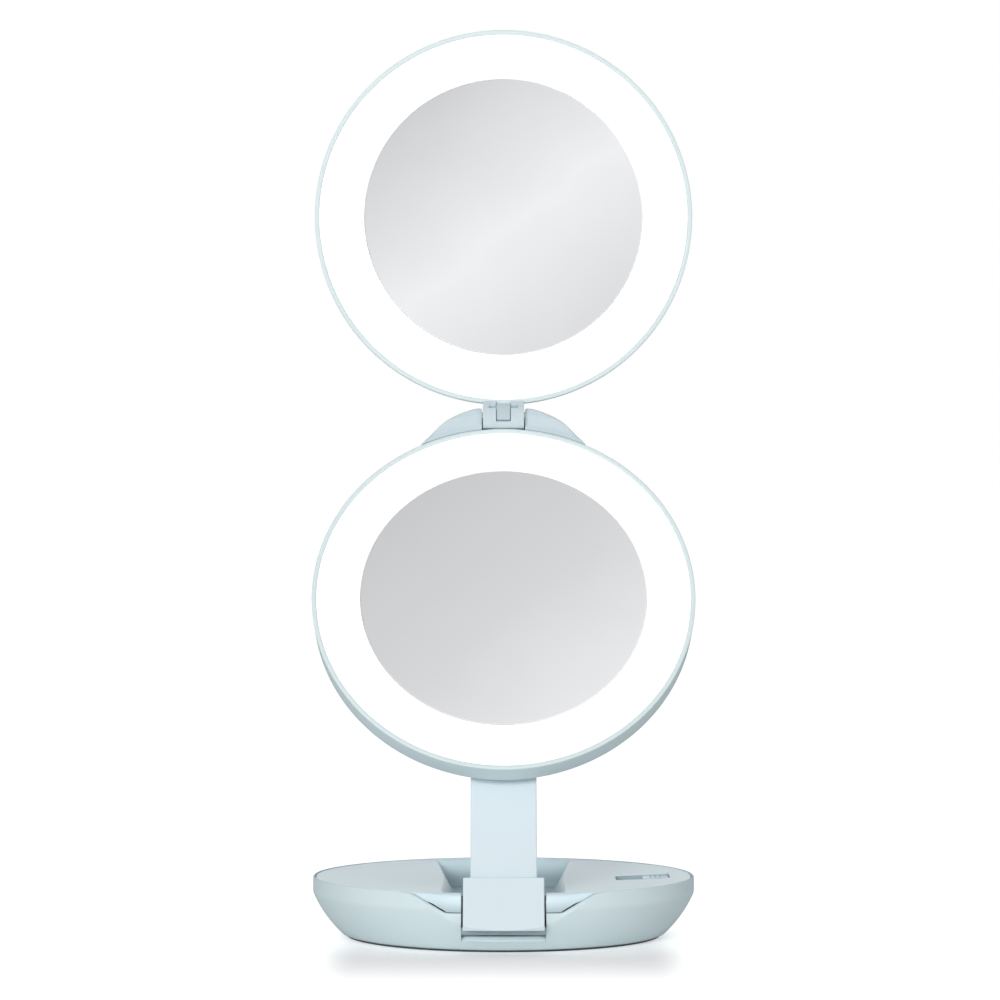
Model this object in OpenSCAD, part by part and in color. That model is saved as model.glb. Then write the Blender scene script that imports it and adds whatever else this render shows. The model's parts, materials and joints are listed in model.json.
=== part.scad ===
// Lighted compact mirror: two round lighted mirrors that fold onto a round base.
// Millimetres. Z is up, the front faces -Y, and the origin is the bottom centre of the base.

/* [Base] */
// Diameter of the base at its rim
base_d = 128; // [120:1:140]
// Height of the base's rim above the table
base_h = 20; // [19:0.5:24]
// Distance of the edge of the flat underside inside the base's rim
foot_in = 12.6; // [10:0.1:16]
// Height of the soft ring that the base stands on
foot_ring_h = 0.8; // [0.6:0.1:1.4]
// Height of the upright band below the rim
rim_band_h = 4; // [3:0.5:6]
// Radius of the bulge of the base's side
side_bulge_r = 40; // [36:1:60]
// Wall of the base shell
shell_wall = 2; // [1.6:0.1:2.4]
// Thickness of the base shell's floor
shell_floor = 2.4; // [2.2:0.1:3]
// Width of the rim round the deck
rim_wall = 1.6; // [1.2:0.1:2.2]

/* [Deck] */
// Wall of the deck that closes the base
deck_wall = 1.6; // [1.4:0.1:2]
// Drop from the rim to the deck's edge
deck_drop = 0.6; // [0.4:0.1:1]
// Depth of the deck's shallow dish
deck_dish = 1.7; // [1:0.1:2]
// Gap round the deck's edge
deck_gap = 0.3; // [0.2:0.05:0.5]
// Height of the pocket's floor above the table
pocket_floor_z = 10.5; // [9.8:0.1:10.8]
// Half width of the pocket's floor at the middle of the base
pocket_half_floor = 15; // [14.8:0.1:16]
// Lean of the pocket's side walls from upright, in degrees
pocket_wall_lean = 40; // [34:1:44]
// Angle in plan by which each side wall opens towards the back
pocket_flare = 2; // [1:0.5:3]
// Distance of the pocket's back wall from the base's rim
pocket_back_in = 6; // [5.5:0.5:8]

/* [Stand] */
// Distance of the stand's hinge behind the front of the base's rim
hinge_in = 8.5; // [8:0.1:9]
// Height of the stand's hinge above the table
hinge_z = 14; // [13.8:0.1:14.4]
// Lean of the stand from upright at rest, in degrees
lean = 29; // [24:1:34]
// Radius of the round lands beside the hinge block
land_r = 5.6; // [5.2:0.1:5.8]
// Width of the hinge block
block_w = 26.2; // [25:0.2:26.6]
// Radius of the hinge block's drum
drum_r = 6.2; // [5.8:0.1:6.4]
// Height of the hinge block's front face above the hinge axis
block_face = 4.9; // [4.5:0.1:5.2]
// Reach of the hinge block above the hinge axis, along the strap
block_reach = 9.3; // [9:0.1:9.6]
// Thickness of the cover on the hinge block
cover_t = 1.4; // [1:0.1:1.8]
// Gap at each end of the hinge block
block_gap = 0.6; // [0.5:0.05:0.8]
// Radius of the stand's hinge pin
pin_r = 1.5; // [1.3:0.1:1.8]
// Width of the stand's strap
strap_w = 21.6; // [20:0.2:22]
// Thickness of the stand's strap
strap_t = 4; // [3.4:0.2:4.2]
// Height of the strap's back face below the hinge axis
strap_back = 1.6; // [1.4:0.1:1.8]
// Length by which the strap's tip stays short of the guide's top when folded
strap_short = 4.5; // [3:0.5:8]

/* [Mirrors] */
// Diameter of the lower mirror
lower_d = 128; // [124:1:132]
// Diameter of the upper mirror
upper_d = 129.2; // [124:0.2:134]
// Depth of the lower mirror's case
lower_depth = 10; // [9:0.2:11]
// Depth of the upper mirror's case
upper_depth = 10; // [9:0.2:11]
// Width of the lower mirror's lip
lower_lip = 1.5; // [1.2:0.1:2]
// Width of the upper mirror's lip
upper_lip = 1.8; // [1.4:0.1:2.2]
// Width of the lower mirror's ring of light
lower_light_w = 15; // [13:0.1:17]
// Width of the upper mirror's ring of light
upper_light_w = 15.3; // [14:0.1:17]
// Thickness of each mirror glass
glass_t = 1.8; // [1.4:0.1:2.2]
// Sag of the magnifying glass at its centre
glass_sag = 0.9; // [0.4:0.1:1.1]
// Wall of the mirror cases
case_wall = 1.8; // [1.4:0.1:2]
// Length by which the lower mirror stands up the strap from where it folds
slide_stroke = 50.3; // [46:0.1:52]
// Gap between the base's rim and the lower mirror when the stand is folded
fold_gap = 0.6; // [0.5:0.1:1]

/* [Light] */
// Number of light chips in each mirror
led_count = 24; // [16:2:36]
// Length of a light chip round the ring
led_l = 2.8; // [2:0.1:3.5]
// Width of a light chip
led_w = 1.6; // [1.2:0.1:2]
// Height of a light chip
led_h = 0.7; // [0.5:0.1:0.9]

/* [Mirror hinge] */
// Distance of the mirror hinge above the lower mirror's rim
lower_hinge_gap = 4.5; // [4.3:0.1:6]
// Distance of the mirror hinge below the upper mirror's rim
upper_hinge_gap = 3.9; // [3.7:0.1:6]
// Gap between the two mirrors' faces when closed
closed_gap = 0.8; // [0.6:0.1:1.2]
// Angle by which the upper mirror leans forward of the lower one at rest, in degrees
open_angle = 24.5; // [19:0.5:29]
// Radius of the mirror hinge's barrel
barrel_r = 4.1; // [3.8:0.05:4.15]
// Width of the mirror hinge's barrel
barrel_w = 14.3; // [12:0.1:16]
// Gap at each end of the mirror hinge's barrel
barrel_gap = 0.3; // [0.25:0.05:0.5]
// Radius of the mirror hinge's pin
mirror_pin_r = 1.2; // [1:0.05:1.3]
// Width of the tongue over the barrel
tongue_w = 4.4; // [3.6:0.1:5]
// Radius of the bracket's round outline
dome_r = 34; // [32:0.5:36]
// Distance of the bracket's outline centre inside the lower mirror's rim
dome_in = 25.5; // [24.5:0.25:26]
// Height of the bracket's front face above the lower mirror's face
dome_face = 2.4; // [2:0.1:2.6]

/* [Switch] */
// Distance of the switch's slot inside the right of the base's rim
switch_in = 17.1; // [16:0.1:20]
// Distance of the switch's slot behind the base's centre
switch_y = 4.4; // [0:0.2:8]
// Length of the switch's slot
slot_l = 18.2; // [16:0.2:20]
// Width of the switch's slot
slot_w = 13; // [10:0.5:14]
// Length of the switch's knob
knob_l = 8.8; // [8:0.1:9]
// Depth of the switch's recess
slot_depth = 2.4; // [2:0.1:2.6]

/* [Power] */
// Diameter of a battery cell
cell_d = 10.5; // [10:0.1:10.6]
// Length of a battery cell
cell_l = 44.5; // [43:0.5:44.5]
// Number of battery cells, where the base has room for them
cell_count = 3; // [1:1:3]
// Distance from one cell to the next
cell_pitch = 10.8; // [10.8:0.1:11]
// Distance of the first cell outside the edge of the pocket's floor
cell_out = 8.8; // [8.6:0.1:9]
// Distance of the battery door's far edge inside the left of the base's rim
door_in = 18.35; // [18:0.05:21]
// Width of the battery door
door_w = 46; // [44:0.5:46]
// Thickness of the battery door
door_t = 1.6; // [1.4:0.1:1.8]

/* [Clearances] */
// Gap of a pin or screw in the hole that holds it
press_gap = 0.03; // [0.02:0.01:0.05]
// Gap of a pin in the hole that turns on it
run_gap = 0.06; // [0.04:0.01:0.09]
// Gap of the strap and its stop in their slots
slide_gap = 0.15; // [0.1:0.05:0.2]
// Gap between a turning piece and its surround
swing_gap = 0.5; // [0.4:0.05:0.6]
// Gap between pieces that drop into each other
fit_gap = 0.2; // [0.1:0.05:0.3]

/* [Hidden] */

$fn = 96;
// Small overlap that keeps a cut from ending flush with a face
over = 1;
base_r = base_d / 2;
hinge_out = base_r - hinge_in;
pocket_back_r = base_r - pocket_back_in;
switch_x = base_r - switch_in;
cell_x = pocket_half_floor + cell_out;
lower_r = lower_d / 2;
upper_r = upper_d / 2;
lower_glass_r = lower_r - lower_lip - lower_light_w;
upper_glass_r = upper_r - upper_lip - upper_light_w;
foot_r = base_r - foot_in;
band_z = base_h - rim_band_h;
floor_z = foot_ring_h + shell_floor;
deck_r = base_r - rim_wall - deck_gap;
deck_edge_z = base_h - deck_drop;
deck_low_z = deck_edge_z - deck_dish;
ledge_z = deck_edge_z - deck_wall;
cradle_r = drum_r + swing_gap;
pocket_front_y = -hinge_out + cradle_r + fit_gap;
// The guide lies in the pocket when folded, between the hinge block and the pocket's back wall
guide_block_gap = 2.2;
guide_back_gap = 9;
guide_low = block_reach + guide_block_gap - hinge_out;
guide_high = pocket_back_r - guide_back_gap;
strap_reach = hinge_out + guide_high - strap_short;
// Colours of the plastics, the lights and the metals
shell_colour = [0.79, 0.86, 0.88];
deck_colour = [0.80, 0.87, 0.90];
lip_colour = [0.86, 0.92, 0.93];
light_colour = [1, 1, 1];
glass_colour = [0.80, 0.81, 0.83];
steel_colour = [0.75, 0.76, 0.78];
white_colour = [0.94, 0.95, 0.95];
board_colour = [0.18, 0.42, 0.30];
foam_colour = [0.35, 0.36, 0.38];

// Arc of points round a centre, from one angle to another
function arc(c, r, a0, a1, n) = [for (i = [0:n]) let (a = a0 + (a1 - a0) * i / n) c + r * [cos(a), sin(a)]];

// Centre of the circle of radius r through p and q that lies to the left of the way from p to q
function arc_centre(p, q, r) =
    let (m = (p + q) / 2, d = q - p, h = norm(d) / 2)
    m + sqrt(r * r - h * h) * [-d[1], d[0]] / norm(d);

// Arc of radius r from p to q, bulging to the right of the way from p to q
function arc_between(p, q, r, n) =
    let (c = arc_centre(p, q, r),
         a0 = atan2(p[1] - c[1], p[0] - c[0]),
         a1 = atan2(q[1] - c[1], q[0] - c[0]))
    arc(c, r, a0, a1, n);

// Bar of length l along X, centred on the YZ point p
module bar_x(r, l, p = [0, 0]) {
    translate([0, p[0], p[1]]) rotate([0, 90, 0]) cylinder(r = r, h = l, center = true);
}

// Plate in the XY plane with square corners, centred in X and Y, from z0 up to z1
module slab(size, z0, z1) {
    translate([-size[0] / 2, -size[1] / 2, z0]) cube([size[0], size[1], z1 - z0]);
}

// Outline in X and Z carried along Y from y0 to y1
module along_y(points, y0, y1) {
    translate([0, y1, 0]) rotate([90, 0, 0]) linear_extrude(y1 - y0) polygon(points);
}

// Outline in Y and Z carried along X, centred
module along_x(points, w) {
    rotate([90, 0, 90]) translate([0, 0, -w / 2]) linear_extrude(w) polygon(points);
}

// Flat ring
module ring(r_out, r_in, z0, z1) {
    translate([0, 0, z0]) rotate_extrude() translate([r_in, 0]) square([r_out - r_in, z1 - z0]);
}

// Place of the stand: its hinge axis is X, its strap runs along Y, and its front is Z
module on_stand() {
    translate([0, -hinge_out, hinge_z]) rotate([90 - lean, 0, 0]) children();
}
lower_face = base_h + fold_gap + lower_depth - hinge_z;
lower_reach = hinge_out + slide_stroke;
lower_hinge_out = lower_r + lower_hinge_gap;
upper_hinge_out = upper_r + upper_hinge_gap;
// Place of the lower mirror: the centre of its face, with its top along Y and its front along Z
module on_lower() {
    on_stand() translate([0, lower_reach, lower_face]) children();
}
// Place of the mirror hinge, seen from the lower mirror, and of the upper mirror beyond it
module on_upper() {
    on_lower() translate([0, lower_hinge_out, closed_gap / 2]) rotate([open_angle, 0, 0])
        translate([0, upper_hinge_out, -closed_gap / 2]) children();
}

// Base

// Solid of the base's outer form, drawn in by an inset
module base_form(inset, z_low, z_top) {
    side = arc_between([foot_r - inset, foot_ring_h], [base_r - inset, band_z], side_bulge_r, 12);
    intersection() {
        rotate_extrude() polygon(concat([[0, foot_ring_h]], side, [[base_r - inset, z_top], [0, z_top]]));
        translate([0, 0, z_low]) cylinder(r = base_r + over, h = z_top - z_low);
    }
}

notch_half = block_w / 2 + block_gap;
notch_z = hinge_z - cradle_r - deck_wall + fit_gap;
notch_bevel = 1.6;
notch_bevel_out = 3.6;
dip_z = hinge_z - 2 * fit_gap;
dip_side = 5.8;
dip_rise = 11.5;
dip_half = notch_half + dip_side;
dip_rise_half = dip_half + dip_rise;
// Front stretch where the shell's rim dips to let the deck's round lands through, widened by a gap
module rim_dip(gap) {
    foot = dip_half + gap;
    rise = dip_rise_half + gap;
    along_y([[-rise, base_h + over], [-rise, base_h], [-foot, dip_z - gap],
             [foot, dip_z - gap], [rise, base_h], [rise, base_h + over]],
            -base_r - over, -hinge_out + land_r);
}

screw_r = 1.1;
screw_head_r = 2.2;
screw_head_h = 1.4;
screw_skin = 0.7;
boss_r = 3;
// Length of the deck's own bosses below its underside
deck_boss_h = 2.5;
foot_ring_side = 1.2;
foot_ring_out = foot_r - foot_ring_side;
foot_ring_w = 4.8;
// Screws that hold the deck down, at the back and at the front beside the stand, just inside the soft ring
screw_side = 0.77;
screw_x = (foot_ring_out - foot_ring_w - screw_side - screw_head_r) / sqrt(2);
screw_spots = [for (x = [-1, 1], y = [-1, 1]) screw_x * [x, y]];

cell_z = floor_z + cell_d / 2 + fit_gap;
// How near the rim the middle of the outermost cell may lie
cell_rim_room = 18.5;
cells = min(cell_count, 1 + floor((base_r - cell_rim_room - cell_x) / cell_pitch));
door_pivot_side = 0.9;
door_pivot_x = -(cell_x - cell_d / 2) - door_pivot_side;
door_pivot_z = foot_ring_h + shell_floor / 2;
door_pin_r = 0.7;
door_lip = 0.8;
door_swing_gap = 1;
door_far_x = door_in - base_r;
door_l = door_pivot_x + door_lip - door_far_x;

// Opening in the floor for the battery door
module door_hole() {
    translate([door_far_x - fit_gap, -door_w / 2 - fit_gap, 0])
        cube([door_l + door_swing_gap + fit_gap, door_w + 2 * fit_gap, floor_z + over]);
}

module base_shell() {
    color(shell_colour)
    difference() {
        union() {
            difference() {
                base_form(0, 0, base_h);
                base_form(shell_wall, floor_z, ledge_z);
                translate([0, 0, ledge_z]) cylinder(r = base_r - rim_wall, h = base_h);
                rim_dip(0);
                shell_notch();
            }
            for (p = screw_spots) intersection() {
                translate([p[0], p[1], foot_ring_h])
                    cylinder(r = boss_r, h = deck_under(norm(p)) - deck_boss_h - foot_ring_h);
                base_form(shell_wall / 2, 0, base_h);
            }
            board_bosses();
            bay_ribs();
        }
        door_hole();
        bar_y(door_pin_r + run_gap, door_w + 2 * door_pin_l + 2 * fit_gap, [door_pivot_x, door_pivot_z]);
        for (p = screw_spots) translate([p[0], p[1], 0]) {
            cylinder(r = screw_r + press_gap, h = base_h);
            cylinder(r = screw_head_r + fit_gap, h = foot_ring_h + screw_head_h + fit_gap);
        }
        ring(foot_ring_out + fit_gap, foot_ring_out - foot_ring_w - fit_gap, 0, foot_ring_h + ring_seat);
    }
}
ring_seat = 0.5;
door_pin_l = 1.6;

// Bar of length l along Y, centred on the XZ point p
module bar_y(r, l, p = [0, 0]) {
    translate([p[0], 0, p[1]]) rotate([90, 0, 0]) cylinder(r = r, h = l, center = true);
}

// Notch in the front of the shell for the hinge block, with its bevelled lower edge
module shell_notch() {
    bevel_y = -foot_r - notch_bevel_out;
    bevel_z = notch_z - 2 * notch_bevel;
    back_y = -hinge_out + drum_r;
    along_x([[-base_r - over, bevel_z], [-base_r - over, base_h + over], [back_y, base_h + over],
             [back_y, notch_z], [bevel_y, notch_z], [bevel_y - 2 * notch_bevel, bevel_z]],
            2 * notch_half);
}

// Soft ring under the base, cut away where the battery door swings
module foot_ring() {
    door_room = 1;
    color(foam_colour)
    difference() {
        ring(foot_ring_out, foot_ring_out - foot_ring_w, 0, foot_ring_h + ring_seat - 0.02);
        translate([door_far_x - door_room, -door_w / 2 - door_room, -over])
            cube([door_l + 2 * door_room, door_w + 2 * door_room, base_h]);
    }
}

// Height of the deck's dished top at a distance from its centre
function deck_top(r) = deck_low_z + deck_dish * pow(r / deck_r, 2);
function deck_under(r) = deck_top(r) - deck_wall;

// Pocket for the folded strap and its guide, grown by a wall and sunk by as much
module pocket_form(wall, z_top) {
    run = tan(pocket_wall_lean);
    low = pocket_floor_z - wall;
    half = pocket_half_floor + wall * (1 / cos(pocket_wall_lean) - run);
    intersection() {
        for_side(1, half, run, low, z_top);
        for_side(-1, half, run, low, z_top);
        cylinder(r = pocket_back_r + wall, h = z_top);
        translate([-base_r, pocket_front_y, 0]) cube([base_d, base_d, z_top]);
    }
}

// Wide prism with one leaning wall, turned by the flare
module for_side(s, half, run, low, z_top) {
    rotate([0, 0, -s * pocket_flare])
        along_y([[-s * base_d, low], [s * half, low], [s * (half + run * (z_top - low)), z_top],
                 [-s * base_d, z_top]], -base_d, base_d);
}

module deck() {
    color(deck_colour)
    difference() {
        union() {
            deck_disc();
            intersection() {
                pocket_form(deck_wall, base_h);
                below_deck();
            }
            deck_lands();
            intersection() {
                bar_x(cradle_r + deck_wall, 2 * notch_half + 2 * deck_wall, [-hinge_out, hinge_z]);
                translate([0, -hinge_out, 0]) slab([base_d, base_r], 0, hinge_z);
            }
            for (p = screw_spots) translate([p[0], p[1], deck_under(norm(p)) - deck_boss_h])
                cylinder(r = boss_r, h = deck_boss_h + deck_wall / 2);
        }
        pocket_form(0, base_h + over);
        bar_x(cradle_r, 2 * notch_half, [-hinge_out, hinge_z]);
        block_sweep();
        bar_x(pin_r + press_gap, 2 * pin_half, [-hinge_out, hinge_z]);
        translate([switch_x - slot_l / 2, switch_y - slot_w / 2, ledge_z - deck_wall * 2])
            cube([slot_l, slot_w, base_h]);
        for (p = screw_spots) translate([p[0], p[1], 0])
            cylinder(r = screw_r + press_gap, h = deck_top(norm(p)) - screw_skin);
        shell_keep_out();
    }
}

// Room below the middle of the deck's thickness
module below_deck() {
    middle = [for (i = [8:-1:0]) let (r = deck_r * i / 8) [r, deck_top(r) - deck_wall / 2]];
    rotate_extrude() polygon(concat([[0, 0], [deck_r, 0]], middle));
}

// Dished disc of the deck
module deck_disc() {
    top = [for (i = [0:8]) let (r = deck_r * i / 8) [r, deck_top(r)]];
    under = [for (i = [8:-1:0]) let (r = deck_r * i / 8) [r, deck_under(r)]];
    rotate_extrude() polygon(concat(top, under));
}

// Round lands at the front, one at each side of the hinge block
module deck_lands() {
    intersection() {
        bar_x(land_r, 2 * dip_rise_half, [-hinge_out, hinge_z]);
        base_form(0, hinge_z - land_r - over, base_h);
    }
}

// Everything that the shell's wall takes up, with the deck's gap round it
module shell_keep_out() {
    difference() {
        translate([0, 0, -over]) cylinder(r = base_r + 2 * over, h = base_h + 2 * over);
        translate([0, 0, ledge_z]) cylinder(r = deck_r, h = base_h);
        base_form(shell_wall + deck_gap, foot_ring_h, ledge_z);
        intersection() {
            rim_dip(-deck_gap);
            base_form(0, 0, base_h);
        }
        intersection() {
            shell_notch_inner();
            base_form(shell_wall * 0.6, 0, base_h);
        }
    }
}

// Space within the notch that the deck's cradle may fill
module shell_notch_inner() {
    translate([-notch_half + deck_gap, -base_r, notch_z + fit_gap])
        cube([2 * (notch_half - deck_gap), base_r, base_h]);
}

// Space that the hinge block sweeps, in front of and above its drum
sweep_drop = 4;
module block_sweep() {
    translate([-notch_half, -base_r - over, hinge_z - sweep_drop])
        cube([2 * notch_half, base_r + over - hinge_out, base_h]);
    translate([-notch_half, -hinge_out, pocket_floor_z])
        cube([2 * notch_half, pocket_front_y + hinge_out + over, base_h]);
}

pin_seat = 5;
pin_half = notch_half + pin_seat;
module stand_hinge_pin() {
    color(steel_colour) bar_x(pin_r, 2 * pin_half - 2 * fit_gap, [-hinge_out, hinge_z]);
}

washer_t = 0.4;
module hinge_washers() {
    color(white_colour)
    for (s = [-1, 1]) translate([s * (block_w / 2 + block_gap / 2), -hinge_out, hinge_z]) rotate([0, 90, 0])
        difference() {
            cylinder(r = land_r - 1, h = washer_t, center = true);
            cylinder(r = pin_r + press_gap, h = washer_t + over, center = true);
        }
}

module base_screws() {
    color(steel_colour)
    for (p = screw_spots) translate([p[0], p[1], foot_ring_h]) {
        cylinder(r = screw_head_r, h = screw_head_h);
        cylinder(r = screw_r, h = deck_top(norm(p)) - screw_skin - fit_gap - foot_ring_h);
    }
}

// Switch and its board
tray_wall = 1;
tray_z = deck_under(switch_x) - slot_depth + deck_wall - tray_wall;
stem_w = 3;
knob_sink = 0.1;
knob_x = switch_x + (slot_l - knob_l) / 2 - fit_gap;
knob_travel = slot_l - knob_l - 2 * fit_gap;
module switch_tray() {
    rim = 1.2;
    tray_h = deck_under(switch_x - slot_l / 2 - rim) - tray_z - skin_gap;
    color(deck_colour)
    difference() {
        translate([switch_x - slot_l / 2 - rim, switch_y - slot_w / 2 - rim, tray_z])
            cube([slot_l + 2 * rim, slot_w + 2 * rim, tray_h]);
        translate([switch_x - slot_l / 2, switch_y - slot_w / 2, tray_z + tray_wall])
            cube([slot_l, slot_w, base_h]);
        translate([knob_x - knob_travel - stem_w / 2 - fit_gap, switch_y - stem_w / 2 - fit_gap, 0])
            cube([knob_travel + stem_w + 2 * fit_gap, stem_w + 2 * fit_gap, base_h]);
    }
}

switch_h = 4.6;
switch_w = 8;
switch_low_z = tray_z - fit_gap - switch_h;
module switch_body() {
    stem_depth = 2.4;
    color(steel_colour)
    difference() {
        translate([switch_x, switch_y, 0])
            slab([slot_l - fit_gap, switch_w], switch_low_z, switch_low_z + switch_h);
        translate([knob_x - knob_travel - stem_w / 2 - fit_gap, switch_y - stem_w / 2 - fit_gap,
                   switch_low_z + switch_h - stem_depth])
            cube([knob_travel + stem_w + 2 * fit_gap, stem_w + 2 * fit_gap, base_h]);
    }
}

module switch_knob() {
    knob_top = deck_top(switch_x) - knob_sink;
    stem_down = 2;
    rib_pitch = 1.6;
    groove_w = 0.6;
    groove_d = 0.35;
    color(deck_colour)
    difference() {
        union() {
            translate([knob_x - knob_l / 2, switch_y - slot_w / 2 + fit_gap, tray_z + tray_wall + fit_gap])
                cube([knob_l, slot_w - 2 * fit_gap, knob_top - tray_z - tray_wall - fit_gap]);
            translate([knob_x - stem_w / 2, switch_y - stem_w / 2, tray_z - stem_down])
                cube([stem_w, stem_w, stem_down + tray_wall + 2 * fit_gap]);
        }
        for (i = [-1:1])
            translate([knob_x + i * rib_pitch - groove_w / 2, switch_y - slot_w / 2, knob_top - groove_d])
                cube([groove_w, slot_w, over]);
    }
}

board_t = 1.2;
board_l = 26;
board_w = 30;
board_shift = 10.9;
board_x = switch_x - board_shift;
board_boss_r = 1.6;
module control_board() {
    color(board_colour) translate([board_x, switch_y, 0])
        slab([board_l, board_w], switch_low_z - board_t, switch_low_z);
}

// Posts in the base that carry the control board
module board_bosses() {
    inset = 2;
    low = foot_ring_h + over;
    for (x = [-1, 1], y = [-1, 1])
        translate([board_x + x * (board_l / 2 - inset), switch_y + y * (board_w / 2 - inset), low])
            cylinder(r = board_boss_r, h = switch_low_z - board_t - low);
}

// Power
contact_t = 0.5;
contact_w = 6;
contact_lift = 2;
// Ribs in the base that the battery contacts stand against
module bay_ribs() {
    rib_t = 1.2;
    rib_y = cell_l / 2 + fit_gap + contact_t + skin_gap + rib_t / 2;
    for (s = [-1, 1]) intersection() {
        translate([-cell_x - cell_pitch * (cells - 1) / 2, s * rib_y, 0])
            slab([cell_pitch * cells, rib_t], foot_ring_h + over, floor_z + cell_d - 2 * over);
        base_form(shell_wall / 2, 0, base_h);
    }
}

module battery_cells() {
    nub_r = 1.9;
    nub_l = 0.8;
    color([0.30, 0.32, 0.36])
    for (i = [0:cells - 1]) translate([-cell_x - i * cell_pitch, 0, cell_z]) rotate([90, 0, 0]) {
        translate([0, 0, -cell_l / 2]) cylinder(d = cell_d, h = cell_l - nub_l);
        translate([0, 0, cell_l / 2 - nub_l - 0.01]) cylinder(r = nub_r, h = nub_l + 0.01);
    }
}

module battery_contacts() {
    color(steel_colour)
    for (s = [-1, 1], i = [0:cells - 1])
        translate([-cell_x - i * cell_pitch, s * (cell_l / 2 + fit_gap + contact_t / 2), 0])
            slab([contact_w, contact_t], floor_z + contact_lift, floor_z + cell_d - over);
}

module battery_door() {
    grip_l = 8;
    grip_pitch = 1.6;
    groove_w = 0.8;
    groove_d = 0.4;
    color(shell_colour)
    difference() {
        union() {
            translate([door_far_x, -door_w / 2, foot_ring_h]) cube([door_l, door_w, door_t]);
            translate([door_pivot_x - door_pin_r, -door_w / 2, foot_ring_h])
                cube([2 * door_pin_r, door_w, door_pivot_z - foot_ring_h]);
            bar_y(door_pin_r, door_w + 2 * door_pin_l, [door_pivot_x, door_pivot_z]);
        }
        for (i = [1:4]) translate([door_far_x + i * grip_pitch, -grip_l / 2, foot_ring_h - over])
            cube([groove_w, grip_l, over + groove_d]);
    }
}

// Stand

// The hinge block's front follows the base's round outline when the stand is folded
module block_outline(z0, z1) {
    intersection() {
        translate([0, hinge_out, z0]) cylinder(r = base_r - fit_gap, h = z1 - z0);
        translate([-block_w / 2, -base_r, z0]) cube([block_w, base_r + block_reach, z1 - z0]);
    }
}

sleeve_wall = 1.5;
sleeve_back = strap_back + sleeve_wall;
strap_start = pin_r + sleeve_wall;
// Thickness of the block's brow below its cover, in front of the drum
brow_t = 1.6;
module hinge_block() {
    color(shell_colour) on_stand()
    difference() {
        union() {
            intersection() {
                bar_x(drum_r, block_w);
                translate([0, 0, -base_h + block_face - cover_t]) slab([block_w + over, base_h], 0, base_h);
            }
            translate([-block_w / 2, 0, -sleeve_back])
                cube([block_w, block_reach, sleeve_back + block_face - cover_t]);
            intersection() {
                block_outline(block_face - cover_t - brow_t, block_face - cover_t);
                translate([-block_w / 2, -base_r, -base_r]) cube([block_w, base_r, base_d]);
            }
        }
        bar_x(pin_r + run_gap, block_w + over);
        translate([-strap_w / 2 - fit_gap / 2, strap_start, -strap_back - fit_gap / 2])
            cube([strap_w + fit_gap, strap_reach, strap_t + fit_gap]);
    }
}

module block_cover() {
    color(shell_colour) on_stand() block_outline(block_face - cover_t, block_face);
}

module stand_strap() {
    bevel = 0.5;
    half = strap_w / 2;
    front = strap_t - strap_back;
    color(shell_colour) on_stand()
    difference() {
        along_y([[-half, -strap_back], [half, -strap_back], [half, front - bevel], [half - bevel, front],
                 [-half + bevel, front], [-half, front - bevel]], strap_start + fit_gap / 2, strap_reach);
        for (s = [-1, 1]) translate([s * rivet_x, stop_y, -strap_back - over])
            cylinder(r = rivet_r + press_gap, h = strap_t + 2 * over);
    }
}

stop_end = 4.5;
stop_y = strap_reach - stop_end;
stop_w = 17;
stop_l = 6;
stop_t = 0.8;
rivet_r = 1;
rivet_x = 6;
module strap_stop() {
    front = strap_t - strap_back;
    color(steel_colour) on_stand() {
        translate([0, stop_y, 0]) slab([stop_w, stop_l], front, front + stop_t);
        for (s = [-1, 1]) translate([s * rivet_x, stop_y, -strap_back])
            cylinder(r = rivet_r, h = strap_t + stop_t / 2);
    }
}

groove_in = 8;
guide_floor = 1;
guide_half_low = 12.8;
guide_half_high = 15.6;
ear_half = 19.4;
ear_l = 6;
ear_t = 2;
ear_spots = [-34, 39];
guide_screw_x = 17.2;
guide_bite = 2.4;
// Channel on the lower mirror's back that the strap runs in
module strap_guide() {
    back = -lower_depth;
    low = -lower_face - strap_back - slide_gap - guide_floor;
    slot_low = low + guide_floor;
    slot_high = slot_low + strap_t + 2 * slide_gap;
    groove_high = slot_high + stop_t + slide_gap;
    color(shell_colour) on_lower()
    difference() {
        union() {
            along_y([[-guide_half_low, low], [guide_half_low, low], [guide_half_high, back],
                     [-guide_half_high, back]], guide_low, guide_high);
            for (y = ear_spots) translate([0, y, 0]) slab([2 * ear_half, ear_l], back - ear_t, back);
        }
        translate([-strap_w / 2 - slide_gap, guide_low - over, slot_low])
            cube([strap_w + 2 * slide_gap, guide_high - guide_low + 2 * over, slot_high - slot_low]);
        translate([-stop_w / 2 - slide_gap, guide_low + groove_in, slot_low])
            cube([stop_w + 2 * slide_gap, guide_high - guide_low, groove_high - slot_low]);
        for (s = [-1, 1], y = ear_spots) translate([s * guide_screw_x, y, back - ear_t - over])
            cylinder(r = screw_r + press_gap, h = ear_t + 2 * over);
    }
}

module guide_screws() {
    head_h = 1;
    color(steel_colour) on_lower()
    for (s = [-1, 1], y = ear_spots) translate([s * guide_screw_x, y, 0]) {
        translate([0, 0, -lower_depth - ear_t - head_h]) cylinder(r = screw_head_r, h = head_h);
        translate([0, 0, -lower_depth - ear_t]) cylinder(r = screw_r, h = ear_t + guide_bite);
    }
}

// Mirrors: each stack is drawn with its face at zero and its back below
lip_t = 2.4;
glass_set = 0.5;
diffuser_set = 0.3;
diffuser_t = 1.5;
pad_t = 0.6;
skin_gap = 0.02;
shelf_top = -diffuser_set - diffuser_t - skin_gap;
tray_floor_z = -glass_set - glass_t - pad_t;
reflector_wall = 1;
led_board_t = 1;
led_board_w = 6;

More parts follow.
